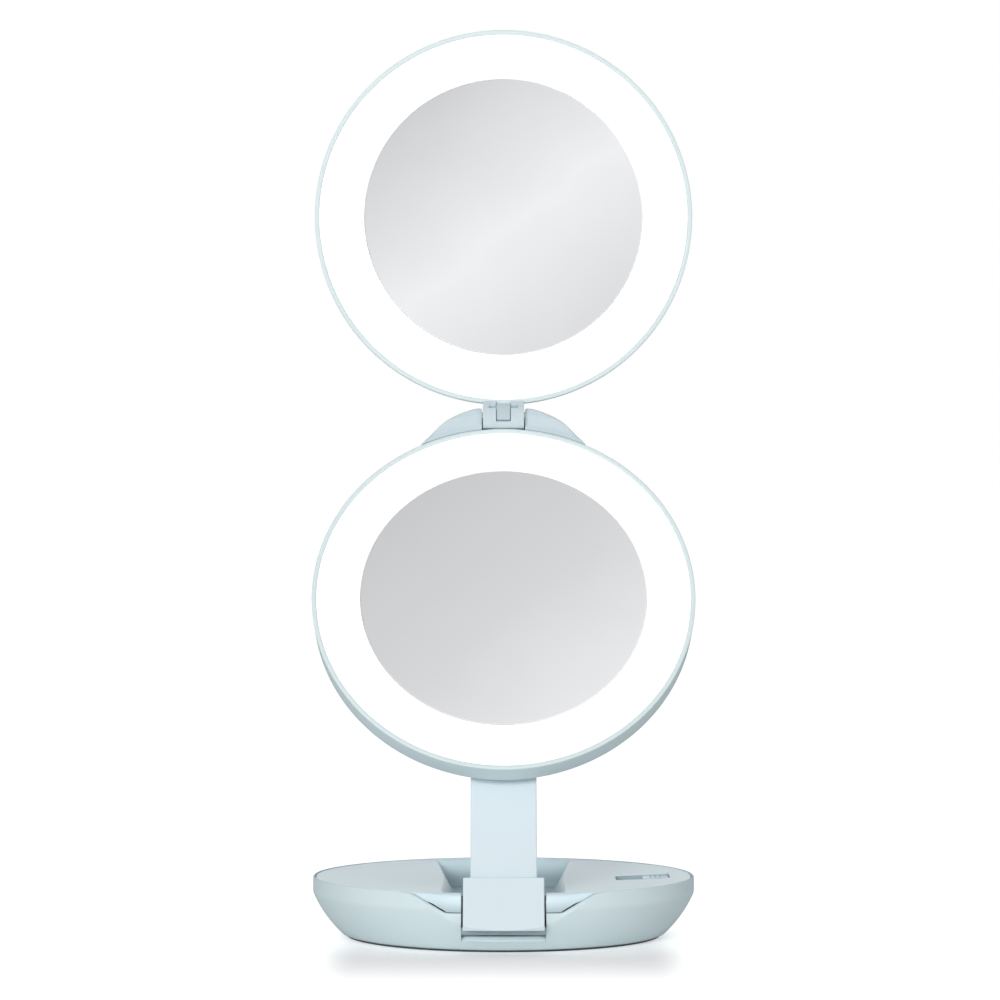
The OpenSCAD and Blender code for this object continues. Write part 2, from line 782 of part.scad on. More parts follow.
// Bosses in the lower case for the guide's screws, which the tray rests on
boss_wall = 1.3;
boss_cap = 0.5;
boss_top = -lower_depth + guide_bite + fit_gap + boss_cap;
module lower_case() {
    r = lower_r;
    edge = 1.6;
    draft = 0.5;
    edge_arc = [-72, -8];
    inner = r - case_wall;
    floor_top = -lower_depth + case_wall;
    outline = concat([[0, -lower_depth], [r - draft - edge, -lower_depth]],
                     arc([r - draft - edge, -lower_depth + edge], edge, edge_arc[0], edge_arc[1], 6),
                     [[r, -lip_t], [inner, -lip_t], [inner - draft, floor_top], [0, floor_top]]);
    color(shell_colour) on_lower()
    difference() {
        union() {
            rotate_extrude() polygon(outline);
            for (s = [-1, 1], y = ear_spots) translate([s * guide_screw_x, y, floor_top - case_wall / 2])
                cylinder(r = screw_r + boss_wall, h = boss_top - floor_top + case_wall / 2);
        }
        for (s = [-1, 1], y = ear_spots) translate([s * guide_screw_x, y, -lower_depth - over])
            cylinder(r = screw_r + press_gap, h = guide_bite + fit_gap + over);
    }
}

// The upper case's back is slightly crowned, and a round shoulder leads from it to the lip
crown = 1.2;
shoulder_w = 7.6;
// How far in from the shoulder the posts stand that carry the tray
post_in = 17.1;
// How far the inside of the shoulder has come in at the foot of the lip's skirt
shoulder_in_at_lip = 0.8;
module upper_case() {
    r = upper_r;
    edge_z = -lip_t - fit_gap;
    inner = r - case_wall;
    back_r = r - shoulder_w;
    shoulder_r = 14;
    wall_z = -upper_depth + crown;
    crown_r = (back_r * back_r + crown * crown) / (2 * crown);
    shoulder = arc_between([back_r, wall_z], [r, edge_z], shoulder_r, 8);
    shoulder_c = arc_centre([back_r, wall_z], [r, edge_z], shoulder_r);
    shoulder_in = [for (i = [8:-1:0])
        let (p = shoulder[i] + case_wall * (shoulder_c - shoulder[i]) / shoulder_r) if (p[1] < -lip_t) p];
    back = [for (i = [0:5]) let (x = back_r * i / 6)
        [x, -upper_depth + crown_r - sqrt(crown_r * crown_r - x * x)]];
    floor_top = -upper_depth + case_wall;
    post_low = floor_top - case_wall / 4;
    color(shell_colour) on_upper() {
        rotate_extrude()
            polygon(concat(back, shoulder, [[r, -lip_t], [inner, -lip_t]], shoulder_in, [[0, floor_top]]));
        for (i = [0:3]) rotate([0, 0, 45 + 90 * i]) translate([back_r - post_in, 0, post_low])
            cylinder(r = screw_r + boss_wall, h = upper_tray_z - skin_gap - post_low);
    }
}

// Lip ring round a light, with a rounded front and a skirt that drops inside the case
module lip_ring(r, lip, skirt_in) {
    round_r = lip / 2;
    skirt_r = r - case_wall - skirt_in;
    skirt_t = 0.8;
    skirt_h = 0.8;
    rotate_extrude() polygon(concat(
        [[skirt_r - skirt_t, -lip_t - skirt_h], [skirt_r, -lip_t - skirt_h]],
        [[skirt_r, -lip_t], [r, -lip_t]],
        arc([r - round_r, -round_r], round_r, 0, 180, 10),
        [[r - lip, shelf_top], [skirt_r - skirt_t, shelf_top]]));
}
module lower_lip_ring() {
    color(lip_colour) on_lower() lip_ring(lower_r, lower_lip, fit_gap / 2);
}
module upper_lip_ring() {
    color(lip_colour) on_upper() lip_ring(upper_r, upper_lip, fit_gap / 2 + shoulder_in_at_lip);
}

// Milky ring that spreads the light, between the glass and the lip
module diffuser(r_out, r_in) {
    ring(r_out - fit_gap / 2, r_in + fit_gap / 2, -diffuser_set - diffuser_t, -diffuser_set);
}
module lower_diffuser() {
    color(light_colour) on_lower() diffuser(lower_r - lower_lip, lower_glass_r);
}
module upper_diffuser() {
    color(light_colour) on_upper() diffuser(upper_r - upper_lip, upper_glass_r);
}

// White tray that carries the glass in the middle and the lights round it
glass_seat = 1.2;
module reflector(out_r, glass_r, low) {
    mid_r = glass_r - glass_seat;
    ring(out_r, 0, low, low + reflector_wall);
    ring(mid_r, mid_r - reflector_wall, low, tray_floor_z);
    ring(mid_r, 0, tray_floor_z - reflector_wall, tray_floor_z);
    ring(out_r, out_r - reflector_wall, low, shelf_top);
}
// The upper tray is drawn in and raised, clear of the case's round shoulder and crown
tray_inset = 1.8;
shoulder_inset = 3.2;
shoulder_lift = 0.7;
lower_tray_r = lower_r - lower_lip - tray_inset;
lower_tray_z = boss_top + skin_gap;
upper_tray_r = upper_r - upper_lip - tray_inset - shoulder_inset;
upper_tray_z = -upper_depth + crown + case_wall + shoulder_lift;
module lower_reflector() {
    color(white_colour) on_lower() reflector(lower_tray_r, lower_glass_r, lower_tray_z);
}
module upper_reflector() {
    color(white_colour) on_upper() reflector(upper_tray_r, upper_glass_r, upper_tray_z);
}

// Middle of the trough between the tray's two walls, where the light chips sit
function led_r(tray_r, glass_r) = (tray_r - reflector_wall + glass_r - glass_seat) / 2;
module led_board(r, low) {
    board_low = low + reflector_wall;
    ring(r + led_board_w / 2, r - led_board_w / 2, board_low + skin_gap, board_low + led_board_t);
}
module lower_led_board() {
    color(board_colour) on_lower() led_board(led_r(lower_tray_r, lower_glass_r), lower_tray_z);
}
module upper_led_board() {
    color(board_colour) on_upper() led_board(led_r(upper_tray_r, upper_glass_r), upper_tray_z);
}

module leds(r, low) {
    board_top = low + reflector_wall + led_board_t;
    for (i = [0:led_count - 1]) rotate([0, 0, (i + 0.5) * 360 / led_count]) translate([0, r, 0])
        slab([led_l, led_w], board_top, board_top + led_h);
}
module lower_leds() {
    color([1, 0.97, 0.85]) on_lower() leds(led_r(lower_tray_r, lower_glass_r), lower_tray_z);
}
module upper_leds() {
    color([1, 0.97, 0.85]) on_upper() leds(led_r(upper_tray_r, upper_glass_r), upper_tray_z);
}

module lower_glass() {
    color(glass_colour) on_lower() translate([0, 0, -glass_set - glass_t])
        cylinder(r = lower_glass_r, h = glass_t, $fn = 128);
}

// Magnifying glass: its front is a shallow hollow
module upper_glass() {
    r = upper_glass_r;
    hollow_r = (r * r + glass_sag * glass_sag) / (2 * glass_sag);
    hollow = [for (i = [16:-1:0]) let (x = r * i / 16)
        [x, -glass_set - glass_sag + hollow_r - sqrt(hollow_r * hollow_r - x * x)]];
    back = -glass_set - glass_t;
    color(glass_colour) on_upper()
        rotate_extrude($fn = 128) polygon(concat([[0, back], [r, back]], hollow));
}

module glass_pad(glass_r) {
    pad_inset = 3;
    pad_w = 10;
    ring(glass_r - pad_inset, glass_r - pad_inset - pad_w, tray_floor_z + skin_gap, tray_floor_z + pad_t);
}
module lower_glass_pad() {
    color(foam_colour) on_lower() glass_pad(lower_glass_r);
}
module upper_glass_pad() {
    color(foam_colour) on_upper() glass_pad(upper_glass_r);
}

// Mirror hinge
dome_back = 1.6;
dome_low = -lower_depth + dome_back;
dome_bevel = 1.6;
dome_round = 1.2;
dome_out = lower_r - dome_in;
hinge_axis = [lower_hinge_out, closed_gap / 2];
module hinge_bracket() {
    color(shell_colour) on_lower()
    difference() {
        translate([0, dome_out, 0]) rotate_extrude() polygon([
            [0, dome_low], [dome_r - dome_bevel, dome_low], [dome_r, dome_low + dome_bevel],
            [dome_r, dome_face - dome_round], [dome_r - dome_round, dome_face], [0, dome_face]]);
        translate([0, 0, dome_low - over]) cylinder(r = lower_r + skin_gap, h = lower_depth * 2);
        translate([0, lower_hinge_out - upper_hinge_out, -lip_t])
            cylinder(r = upper_r + swing_gap, h = lower_depth);
        translate([-barrel_w / 2 - barrel_gap, 0, closed_gap / 2 - barrel_r - 2 * swing_gap])
            cube([barrel_w + 2 * barrel_gap, base_d, lower_depth * 2]);
        bar_x(mirror_pin_r + press_gap, 2 * mirror_pin_half, hinge_axis);
    }
}

mirror_pin_seat = 5;
mirror_pin_half = barrel_w / 2 + mirror_pin_seat;
module mirror_hinge_pin() {
    color(steel_colour) on_lower() bar_x(mirror_pin_r, 2 * mirror_pin_half - fit_gap, hinge_axis);
}

arm_w = 1.9;
arm_l = 6;
web_t = 1.6;
tongue_depth = 0.9;
tongue_back = 1.6;
// Barrel on the upper mirror, with an arm at each end up to the mirror's rim
module hinge_barrel() {
    arm_low = -4.2;
    color(shell_colour) on_upper()
    difference() {
        union() {
            bar_x(barrel_r, barrel_w, [-upper_hinge_out, closed_gap / 2]);
            for (s = [-1, 1]) translate([s * (barrel_w - arm_w) / 2 - arm_w / 2, -upper_hinge_out, arm_low])
                cube([arm_w, arm_l, over - lip_t - arm_low]);
            translate([-barrel_w / 2, -upper_hinge_out, arm_low]) cube([barrel_w, arm_l, web_t]);
        }
        translate([0, 0, arm_low - over]) cylinder(r = upper_r + skin_gap, h = upper_depth);
        bar_x(mirror_pin_r + run_gap, barrel_w + over, [-upper_hinge_out, closed_gap / 2]);
        difference() {
            translate([-tongue_w / 2 - fit_gap, -upper_hinge_out - tongue_back - fit_gap, closed_gap / 2])
                cube([tongue_w + 2 * fit_gap, upper_hinge_out, 2 * barrel_r]);
            bar_x(barrel_r - tongue_depth, barrel_w, [-upper_hinge_out, closed_gap / 2]);
        }
        translate([-tongue_w / 2 - fit_gap, -upper_hinge_out + barrel_r - tongue_depth, -lip_t])
            cube([tongue_w + 2 * fit_gap, upper_hinge_out, 2 * barrel_r]);
    }
}

// Tongue that covers the wires where they cross the hinge: it lies round the barrel in its groove
module hinge_tongue() {
    axis = [-upper_hinge_out, closed_gap / 2];
    r_in = barrel_r - tongue_depth + fit_gap;
    r_out = barrel_r - fit_gap / 2;
    top = -upper_r - skin_gap;
    rim_turn = acos((top - axis[0]) / r_out);
    end_turn = 90 + asin(tongue_back / r_out);
    color(lip_colour) on_upper()
        along_x(concat(arc(axis, r_out, end_turn, rim_turn, 8), [[top, -lip_t], [axis[0] + r_in, -lip_t]],
                       arc(axis, r_in, 0, end_turn, 8)), tongue_w);
}

base_shell();
foot_ring();
deck();
switch_tray();
switch_body();
control_board();
battery_cells();
battery_contacts();
stand_hinge_pin();
hinge_washers();
base_screws();
battery_door();
switch_knob();
hinge_block();
block_cover();
stand_strap();
strap_stop();
lower_case();
lower_lip_ring();
lower_diffuser();
lower_reflector();
lower_led_board();
lower_leds();
lower_glass();
lower_glass_pad();
strap_guide();
guide_screws();
hinge_bracket();
mirror_hinge_pin();
upper_case();
upper_lip_ring();
upper_diffuser();
upper_reflector();
upper_led_board();
upper_leds();
upper_glass();
upper_glass_pad();
hinge_barrel();
hinge_tongue();
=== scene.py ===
"""Lighted compact mirror: the looks of its pieces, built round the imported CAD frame.

Sizes in the functions are millimetres until a mesh is made, and metres from there on.
X is to the right, the front faces -Y, and Z is up.
"""

import json
import math

import bmesh
import bpy
import numpy as np
from bpy.props import FloatProperty, FloatVectorProperty, IntProperty, PointerProperty
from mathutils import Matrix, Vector


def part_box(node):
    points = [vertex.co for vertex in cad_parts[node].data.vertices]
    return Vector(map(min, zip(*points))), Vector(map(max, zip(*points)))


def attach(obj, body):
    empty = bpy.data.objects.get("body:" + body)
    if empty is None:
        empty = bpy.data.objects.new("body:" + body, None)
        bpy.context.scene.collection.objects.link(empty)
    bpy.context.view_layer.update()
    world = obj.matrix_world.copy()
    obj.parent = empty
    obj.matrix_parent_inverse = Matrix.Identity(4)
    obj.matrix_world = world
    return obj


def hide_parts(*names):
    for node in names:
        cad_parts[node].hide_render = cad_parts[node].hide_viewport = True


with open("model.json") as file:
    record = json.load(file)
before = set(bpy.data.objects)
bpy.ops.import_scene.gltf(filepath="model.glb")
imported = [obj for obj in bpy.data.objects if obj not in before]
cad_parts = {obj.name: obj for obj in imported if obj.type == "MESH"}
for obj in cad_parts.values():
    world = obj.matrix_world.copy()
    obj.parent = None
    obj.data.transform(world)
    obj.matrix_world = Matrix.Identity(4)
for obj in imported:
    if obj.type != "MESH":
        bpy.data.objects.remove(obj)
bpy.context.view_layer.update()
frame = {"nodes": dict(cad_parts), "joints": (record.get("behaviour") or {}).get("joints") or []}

bl_info = {
    "name": "Lighted compact mirror",
    "version": (1, 0, 0),
    "blender": (4, 5, 0),
    "location": "View3D > Sidebar > Compact mirror",
    "description": "Builds the visible pieces, the finishes and the stage of a folding lighted mirror",
    "category": "Object",
}

MM = 0.001
JOINTS = {j["name"]: j for j in frame["joints"]}


def linear(red, green, blue):
    """Scene colour of a colour that is written as a screen shows it, each from 0 to 255."""
    c = np.array([red, green, blue]) / 255
    return tuple(float(x) for x in np.where(c <= 0.04045, c / 12.92, ((c + 0.055) / 1.055) ** 2.4))


# Settings that a user would change


class MirrorShape(bpy.types.PropertyGroup):
    columns: IntProperty(name="Columns", description="Number of columns round each round piece",
                         default=288, min=64, max=512)
    edge: FloatProperty(name="Edge rounding", default=0.4 * MM, min=0.0001, max=0.001,
                        description="Radius of a moulded piece's edges, where it has none of its own",
                        unit="LENGTH", precision=5)
    deck_dish: FloatProperty(name="Deck dish", description="Depth of the deck's shallow dish",
                             default=1.7 * MM, min=0.001, max=0.002, unit="LENGTH", precision=5)
    pocket_softness: FloatProperty(name="Pocket softness", description="Softness of the pocket's edges",
                                   default=0.5 * MM, min=0.0002, max=0.003, unit="LENGTH", precision=5)
    seam: FloatProperty(name="Seam", description="Width of the seam between the shell and the deck",
                        default=0.32 * MM, min=0.0001, max=0.0005, unit="LENGTH", precision=5)


class MirrorFinish(bpy.types.PropertyGroup):
    shell: FloatVectorProperty(name="Shell colour", description="Plastic of the base and the cases",
                               subtype="COLOR", size=3, min=0, max=1, default=linear(215, 230, 233))
    deck: FloatVectorProperty(name="Deck colour", description="Plastic of the deck and the switch's knob",
                              subtype="COLOR", size=3, min=0, max=1, default=linear(229, 248, 255))
    lip: FloatVectorProperty(name="Lip colour", description="Plastic of the rings round the lights",
                             subtype="COLOR", size=3, min=0, max=1, default=linear(218, 230, 231))
    stand: FloatVectorProperty(name="Stand colour", description="Plastic of the hinge block and the strap",
                               subtype="COLOR", size=3, min=0, max=1, default=linear(219, 231, 237))
    gloss: FloatProperty(name="Roughness", description="Roughness of the moulded plastic", default=0.26,
                         min=0.05, max=0.6)
    light: FloatProperty(name="Light", description="Brightness of the lit rings", default=0.35, min=0, max=5)
    # Greys of the painted reflection on each glass, from top left to bottom right
    lower_painted_reflection: FloatVectorProperty(name="Plain glass", size=3, min=0, max=1, default=linear(200, 214, 235),
                                      description="Greys of the plain glass, from top left to bottom right")
    upper_painted_reflection: FloatVectorProperty(name="Hollow glass", size=3, min=0, max=1,
                                      default=linear(208, 240, 221),
                                      description="Greys of the hollow glass, from top left to bottom right")


# Frames of the bodies, taken from the joints


class Place:
    """Where a group of pieces is drawn: X stays X, Y runs up the piece and Z comes out of its face."""

    def __init__(self, origin, lean):
        sin, cos = math.sin(lean), math.cos(lean)
        self.origin = np.array(origin)
        self.axes = np.array([[1, 0, 0], [0, sin, cos], [0, -cos, sin]])

    def __call__(self, points):
        """World millimetres of points that are written in this place."""
        return np.asarray(points, float) @ self.axes + self.origin


LEAN = math.atan2(JOINTS["height_slide"]["axis"][1], JOINTS["height_slide"]["axis"][2])
LEAN_UP = LEAN + math.radians(JOINTS["upper_fold"]["range_deg"][0])
HINGE = np.array(JOINTS["arm_fold"]["pos_m"]) / MM
FOLD = np.array(JOINTS["upper_fold"]["pos_m"]) / MM
# Radii of the mirrors, from each rim to the fold's axis, and between the two faces when they are shut
LOWER_R, UPPER_R, LOWER_GAP, UPPER_GAP, CLOSED_GAP = 64, 64.6, 4.5, 3.9, 0.8
UPPER_HINGE_OUT = UPPER_R + UPPER_GAP
# The base's pieces are drawn in the frame's own axes
WORLD = Place((0, 0, 0), 0)
WORLD.axes = np.eye(3)
STAND = Place(HINGE, LEAN)
LOWER = Place(FOLD, LEAN)
LOWER.origin = LOWER((0, -LOWER_R - LOWER_GAP, -CLOSED_GAP / 2))
UPPER = Place(FOLD, LEAN_UP)
UPPER.origin = UPPER((0, UPPER_HINGE_OUT, -CLOSED_GAP / 2))


# Shape functions


def smooth_min(a, b, k):
    """Lesser of a and b, with the corner where they meet rounded off over a width k."""
    h = np.maximum(k - np.abs(a - b), 0)
    return np.minimum(a, b) - h * h / (4 * k)


def smooth_max(a, b, k):
    """Greater of a and b, with the corner where they meet rounded over a width k."""
    return -smooth_min(-a, -b, k)


def ramp(x, a, b):
    """0 below a, 1 above b, and a smooth rise between them."""
    t = np.clip((x - a) / (b - a), 0, 1)
    return t * t * (3 - 2 * t)


def half_chord(radius, x):
    """Half a circle's chord at a distance x from its middle: the root of the radius squared less x
    squared."""
    return np.sqrt(np.maximum(radius ** 2 - x ** 2, 0))


def rounding(radius, past):
    """How far a quarter circle of a radius draws a surface in, at a distance past the quarter's start."""
    return np.where(past > 0, radius - half_chord(radius, past), 0)


def spaced(*spans):
    """Rising values through spans (start, end, count), with the end that two spans share taken once."""
    return np.concatenate([[spans[0][0]], *[np.linspace(*span)[1:] for span in spans]])


def arc_centre(p, q, radius):
    """Centre of an arc of a radius that turns left on its way from p to q."""
    p, q = np.array(p), np.array(q)
    d = q - p
    half = np.linalg.norm(d) / 2
    return (p + q) / 2 + math.sqrt(radius ** 2 - half ** 2) * np.array([-d[1], d[0]]) / (2 * half)


def arc_points(centre, radius, a0, a1, steps):
    """Points of an arc, from angle a0 to a1 in degrees."""
    a = np.radians(np.linspace(a0, a1, steps + 1))
    return np.array(centre) + radius * np.stack([np.cos(a), np.sin(a)], 1)


def filleted(corners, steps=5):
    """Outline through corners (x, y, radius). A corner with a radius becomes an arc that touches both its
    sides, unless it is all but straight."""
    straight = 1.56
    c = np.array([p[:2] for p in corners], float)
    out = []
    for i, (x, y, radius) in enumerate(corners):
        p, before, after = c[i], c[i - 1], c[(i + 1) % len(c)]
        u, v = before - p, after - p
        u, v = u / np.linalg.norm(u), v / np.linalg.norm(v)
        half = math.acos(float(np.clip(u @ v, -1, 1))) / 2
        if radius <= 0 or half > straight:
            out.append(p[None])
            continue
        middle = p + (u + v) / np.linalg.norm(u + v) * radius / math.sin(half)
        start, end = p + u * radius / math.tan(half), p + v * radius / math.tan(half)
        a0 = math.atan2(*(start - middle)[::-1])
        turn = (math.atan2(*(end - middle)[::-1]) - a0 + math.pi) % (2 * math.pi) - math.pi
        a = a0 + turn * np.linspace(0, 1, steps + 1)
        out.append(middle + radius * np.stack([np.cos(a), np.sin(a)], 1))
    return np.concatenate(out)


def lathe(profile, columns):
    """Surface of a profile of (radius, height) points turned round Z: x is the radius times the sine of the
    turn, y is minus the radius times its cosine, z is the height. The last column closes on the first."""
    a = np.linspace(0, 2 * math.pi, columns + 1)
    r, z = profile[:, 0][:, None], profile[:, 1][:, None]
    return np.stack(np.broadcast_arrays(r * np.sin(a), -r * np.cos(a), z), -1)


def bar_along_y(section, y0, y1, end_round=0.0, steps=4):
    """Closed bar: a section of (x, z) points carried along Y, drawn in over its last bit at each end by a
    quarter circle, and closed on its middle line."""
    a = np.linspace(0, math.pi / 2, steps + 1)
    inset = np.concatenate([end_round * (1 - np.sin(a)), end_round * (1 - np.sin(a[::-1]))])
    y = np.concatenate([y0 + end_round * (1 - np.cos(a)), y1 - end_round * (1 - np.cos(a[::-1]))])
    middle = section.mean(0)
    reach = np.abs(section - middle).max(0)
    ring = np.concatenate([section, section[:1]])
    scale = 1 - inset[:, None] / reach
    xz = middle + (ring[None] - middle) * scale[:, None]
    grid = np.stack([xz[..., 0], np.broadcast_to(y[:, None], xz.shape[:2]), xz[..., 1]], -1)
    cap0, cap1 = grid[:1].copy(), grid[-1:].copy()
    cap0[..., [0, 2]] = middle
    cap1[..., [0, 2]] = middle
    return np.concatenate([cap0, grid, cap1])


# Meshes

# Angle in degrees from which an edge is shown sharp on a new piece, and is rounded off on a CAD node's copy
SHARP, EDGED = 32, 28


def quads(shape, offset):
    """Faces of a grid of points: one quad between each point, its right neighbour and the two above them."""
    n, m = shape
    i = (np.arange(n - 1)[:, None] * m + np.arange(m - 1)).ravel() + offset
    return np.stack([i, i + 1, i + m + 1, i + m], 1)


def mesh_of(name, grids, place):
    """Mesh of one or more grids of points in a place, joined where they meet, with faces that point
    outwards."""
    points, faces, offset = [], [], 0
    for g in grids:
        points.append(place(g.reshape(-1, 3)) * MM)
        faces.append(quads(g.shape[:2], offset))
        offset += g.shape[0] * g.shape[1]
    mesh = bpy.data.meshes.new(name)
    mesh.from_pydata(np.concatenate(points).tolist(), [], np.concatenate(faces).tolist())
    b = bmesh.new()
    b.from_mesh(mesh)
    bmesh.ops.remove_doubles(b, verts=b.verts, dist=2e-6)
    bmesh.ops.dissolve_degenerate(b, edges=b.edges, dist=1e-7)
    bmesh.ops.recalc_face_normals(b, faces=b.faces)
    b.to_mesh(mesh)
    b.free()
    mesh.shade_smooth()
    mesh.set_sharp_from_angle(angle=math.radians(SHARP))
    return mesh


def piece(name, mesh, body, look, nodes):
    """Object of a mesh, with a named finish, that rides on a body and stands for CAD nodes."""
    obj = bpy.data.objects.new(name, mesh)
    bpy.context.scene.collection.objects.link(obj)
    obj.data.materials.clear()
    obj.data.materials.append(finish(look))
    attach(obj, body)
    if nodes:
        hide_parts(*nodes)
    return obj


def formed(name, grids, place, body, slot, look, *nodes):
    """Piece of one or more grids of points in a place."""
    return piece(name, mesh_of(name, grids, place), body, look, nodes)


def dressed(node, body, look, edge=None):
    """Copy of a CAD node's mesh with its doubles joined, its flat faces made whole and its edges rounded off,
    by a radius in millimetres or by the one in the settings."""
    mesh = frame["nodes"][node].data.copy()
    b = bmesh.new()
    b.from_mesh(mesh)
    bmesh.ops.remove_doubles(b, verts=b.verts, dist=5e-6)
    bmesh.ops.dissolve_limit(b, angle_limit=math.radians(0.5), verts=b.verts, edges=b.edges)
    b.to_mesh(mesh)
    b.free()
    obj = piece(node.title().replace("_", ""), mesh, body, look, [node])
    mesh.shade_smooth()
    mesh.set_sharp_from_angle(angle=math.radians(EDGED))
    bevel = obj.modifiers.new("Edges", "BEVEL")
    bevel.width = edge * MM if edge else bpy.context.scene.mirror_shape.edge
    bevel.segments = 3
    bevel.limit_method = "ANGLE"
    bevel.angle_limit = math.radians(EDGED)
    bevel.harden_normals = True
    return obj


def cut(obj, tool):
    """Takes the shape of a second object out of a piece, and removes that object."""
    m = obj.modifiers.new("Cut", "BOOLEAN")
    m.operation = "DIFFERENCE"
    m.solver = "EXACT"
    m.object = tool
    bpy.context.view_layer.update()
    mesh = bpy.data.meshes.new_from_object(obj.evaluated_get(bpy.context.evaluated_depsgraph_get()))
    obj.modifiers.remove(m)
    obj.data = mesh
    bpy.data.objects.remove(tool)
    mesh.set_sharp_from_angle(angle=math.radians(SHARP))


def cutter(grids, place=WORLD):
    """Loose object for a cut."""
    obj = bpy.data.objects.new("cutter", mesh_of("cutter", grids, place))
    bpy.context.scene.collection.objects.link(obj)
    return obj


def box_grid(x0, x1, y0, y1, z0, z1, radius=0.3):
    """Upright bar with a rounded rectangle for its plan."""
    plan = filleted([(x0, y0, radius), (x1, y0, radius), (x1, y1, radius), (x0, y1, radius)])
    bar = bar_along_y(plan, z0, z1)
    return bar[..., [0, 2, 1]]


# Finishes


class Nodes:
    """Small helper that adds and wires the nodes of a material or a world."""

    def __init__(self, owner):
        owner.use_nodes = True
        self.tree = owner.node_tree
        self.tree.nodes.clear()

    def add(self, kind, inputs=(), **settings):
        """A node of a kind, with its settings, and its inputs set or linked."""
        node = self.tree.nodes.new(kind)
        for key, value in settings.items():
            setattr(node, key, value)
        for key, value in dict(inputs).items():
            if isinstance(value, bpy.types.NodeSocket):
                self.tree.links.new(value, node.inputs[key])
            else:
                node.inputs[key].default_value = value
        return node

    def maths(self, operation, a, b=0.0, **settings):
        """Result of an operation on one or two values."""
        return self.add("ShaderNodeMath", {0: a, 1: b}, operation=operation, **settings).outputs["Value"]

    def seen(self):
        """1 for a ray of the camera, and for one that came there by a shiny or a clear surface, and 0 for
        others."""
        paths = self.add("ShaderNodeLightPath").outputs
        shiny = self.maths("MAXIMUM", paths["Is Glossy Ray"], paths["Is Transmission Ray"])
        return self.maths("MAXIMUM", paths["Is Camera Ray"], shiny)


class Finish(Nodes):
    """Nodes of a material, with the patterns that its looks are made of."""

    def __init__(self, name):
        self.mat = bpy.data.materials.new(name)
        super().__init__(self.mat)
        self.out = self.add("ShaderNodeOutputMaterial")
        self.coords = self.add("ShaderNodeTexCoord").outputs["Object"]

    def noise(self, size, detail=2.0, roughness=0.5, vector=None):
        """Noise whose grains are about a size in millimetres."""
        return self.add("ShaderNodeTexNoise", {"Vector": vector or self.coords, "Scale": 1 / (size * MM),
                                               "Detail": detail, "Roughness": roughness}).outputs["Fac"]

    def spread(self, value, low, high):
        """Value from 0.35 to 0.65 brought to low to high."""
        return self.add("ShaderNodeMapRange", {"Value": value, "From Min": 0.35, "From Max": 0.65,
                                               "To Min": low, "To Max": high}).outputs["Result"]

    def tint(self, fac, dark, light):
        """Mix of two colours."""
        return self.add("ShaderNodeMix", {"Factor": fac, "A": (*dark, 1), "B": (*light, 1)},
                        data_type="RGBA").outputs["Result"]

    def bump(self, height, depth, strength=1.0, normal=None):
        """Small relief of a depth in millimetres."""
        inputs = {"Height": height, "Strength": strength, "Distance": depth * MM}
        if normal is not None:
            inputs["Normal"] = normal
        return self.add("ShaderNodeBump", inputs).outputs["Normal"]

    def shader(self, inputs):
        """Principled shader wired to the output."""
        node = self.add("ShaderNodeBsdfPrincipled", inputs)
        self.tree.links.new(node.outputs["BSDF"], self.out.inputs["Surface"])
        return self.mat


def scaled(colour, k):
    """Colour made darker or lighter by a factor."""
    return tuple(min(1.0, c * k) for c in colour)


def plastic(name, colour, rough, shine=0.0, painted_light_and_shade=()):
    """Moulded plastic: faint clouds of colour, a fine grain and a long soft waviness that show in its gloss.
    Painted light and shade come as (axis, start, end, factor) rows that darken or lighten its colour along an
    axis, from a start to an end in millimetres."""
    f = Finish(name)
    colour = tuple(colour)
    base = f.tint(f.spread(f.noise(28, 3), 0, 1), scaled(colour, 0.992), scaled(colour, 1.008))
    # Each row paints shade or light into the colour along an axis
    for axis, start, end, factor in painted_light_and_shade:
        along = f.add("ShaderNodeSeparateXYZ", {"Vector": f.coords}).outputs[axis]
        depth = f.add("ShaderNodeMapRange", {"Value": along, "From Min": start * MM, "From Max": end * MM},
                      interpolation_type="SMOOTHSTEP").outputs["Result"]
        base = f.add("ShaderNodeMix", {"Factor": depth, "A": base, "B": (*factor, 1)}, data_type="RGBA",
                     blend_type="MULTIPLY").outputs["Result"]
    wave = f.bump(f.noise(30, 0), 0.006, 0.5)
    fine = f.bump(f.noise(0.9, 1, 0.5), 0.001, 0.5, wave)
    return f.shader({"Base Color": base, "Roughness": f.spread(f.noise(6, 3), rough - 0.015, rough + 0.015),
                     "Normal": fine, "Specular IOR Level": shine, "IOR": 1.47})


def milk_light(name, strength):
    """Lit milky plastic: white, and very slightly uneven in its colour and its glow."""
    f = Finish(name)
    cloud = f.spread(f.noise(9, 2), 0, 1)
    colour = f.tint(cloud, (0.95, 0.965, 0.97), (1.0, 1.0, 1.0))
    glow = f.spread(f.noise(12, 1), strength * 0.97, strength * 1.03)
    return f.shader({"Base Color": colour, "Roughness": 0.35, "Emission Color": colour,
                     "Emission Strength": glow, "Normal": f.bump(f.noise(0.3, 2), 0.003)})


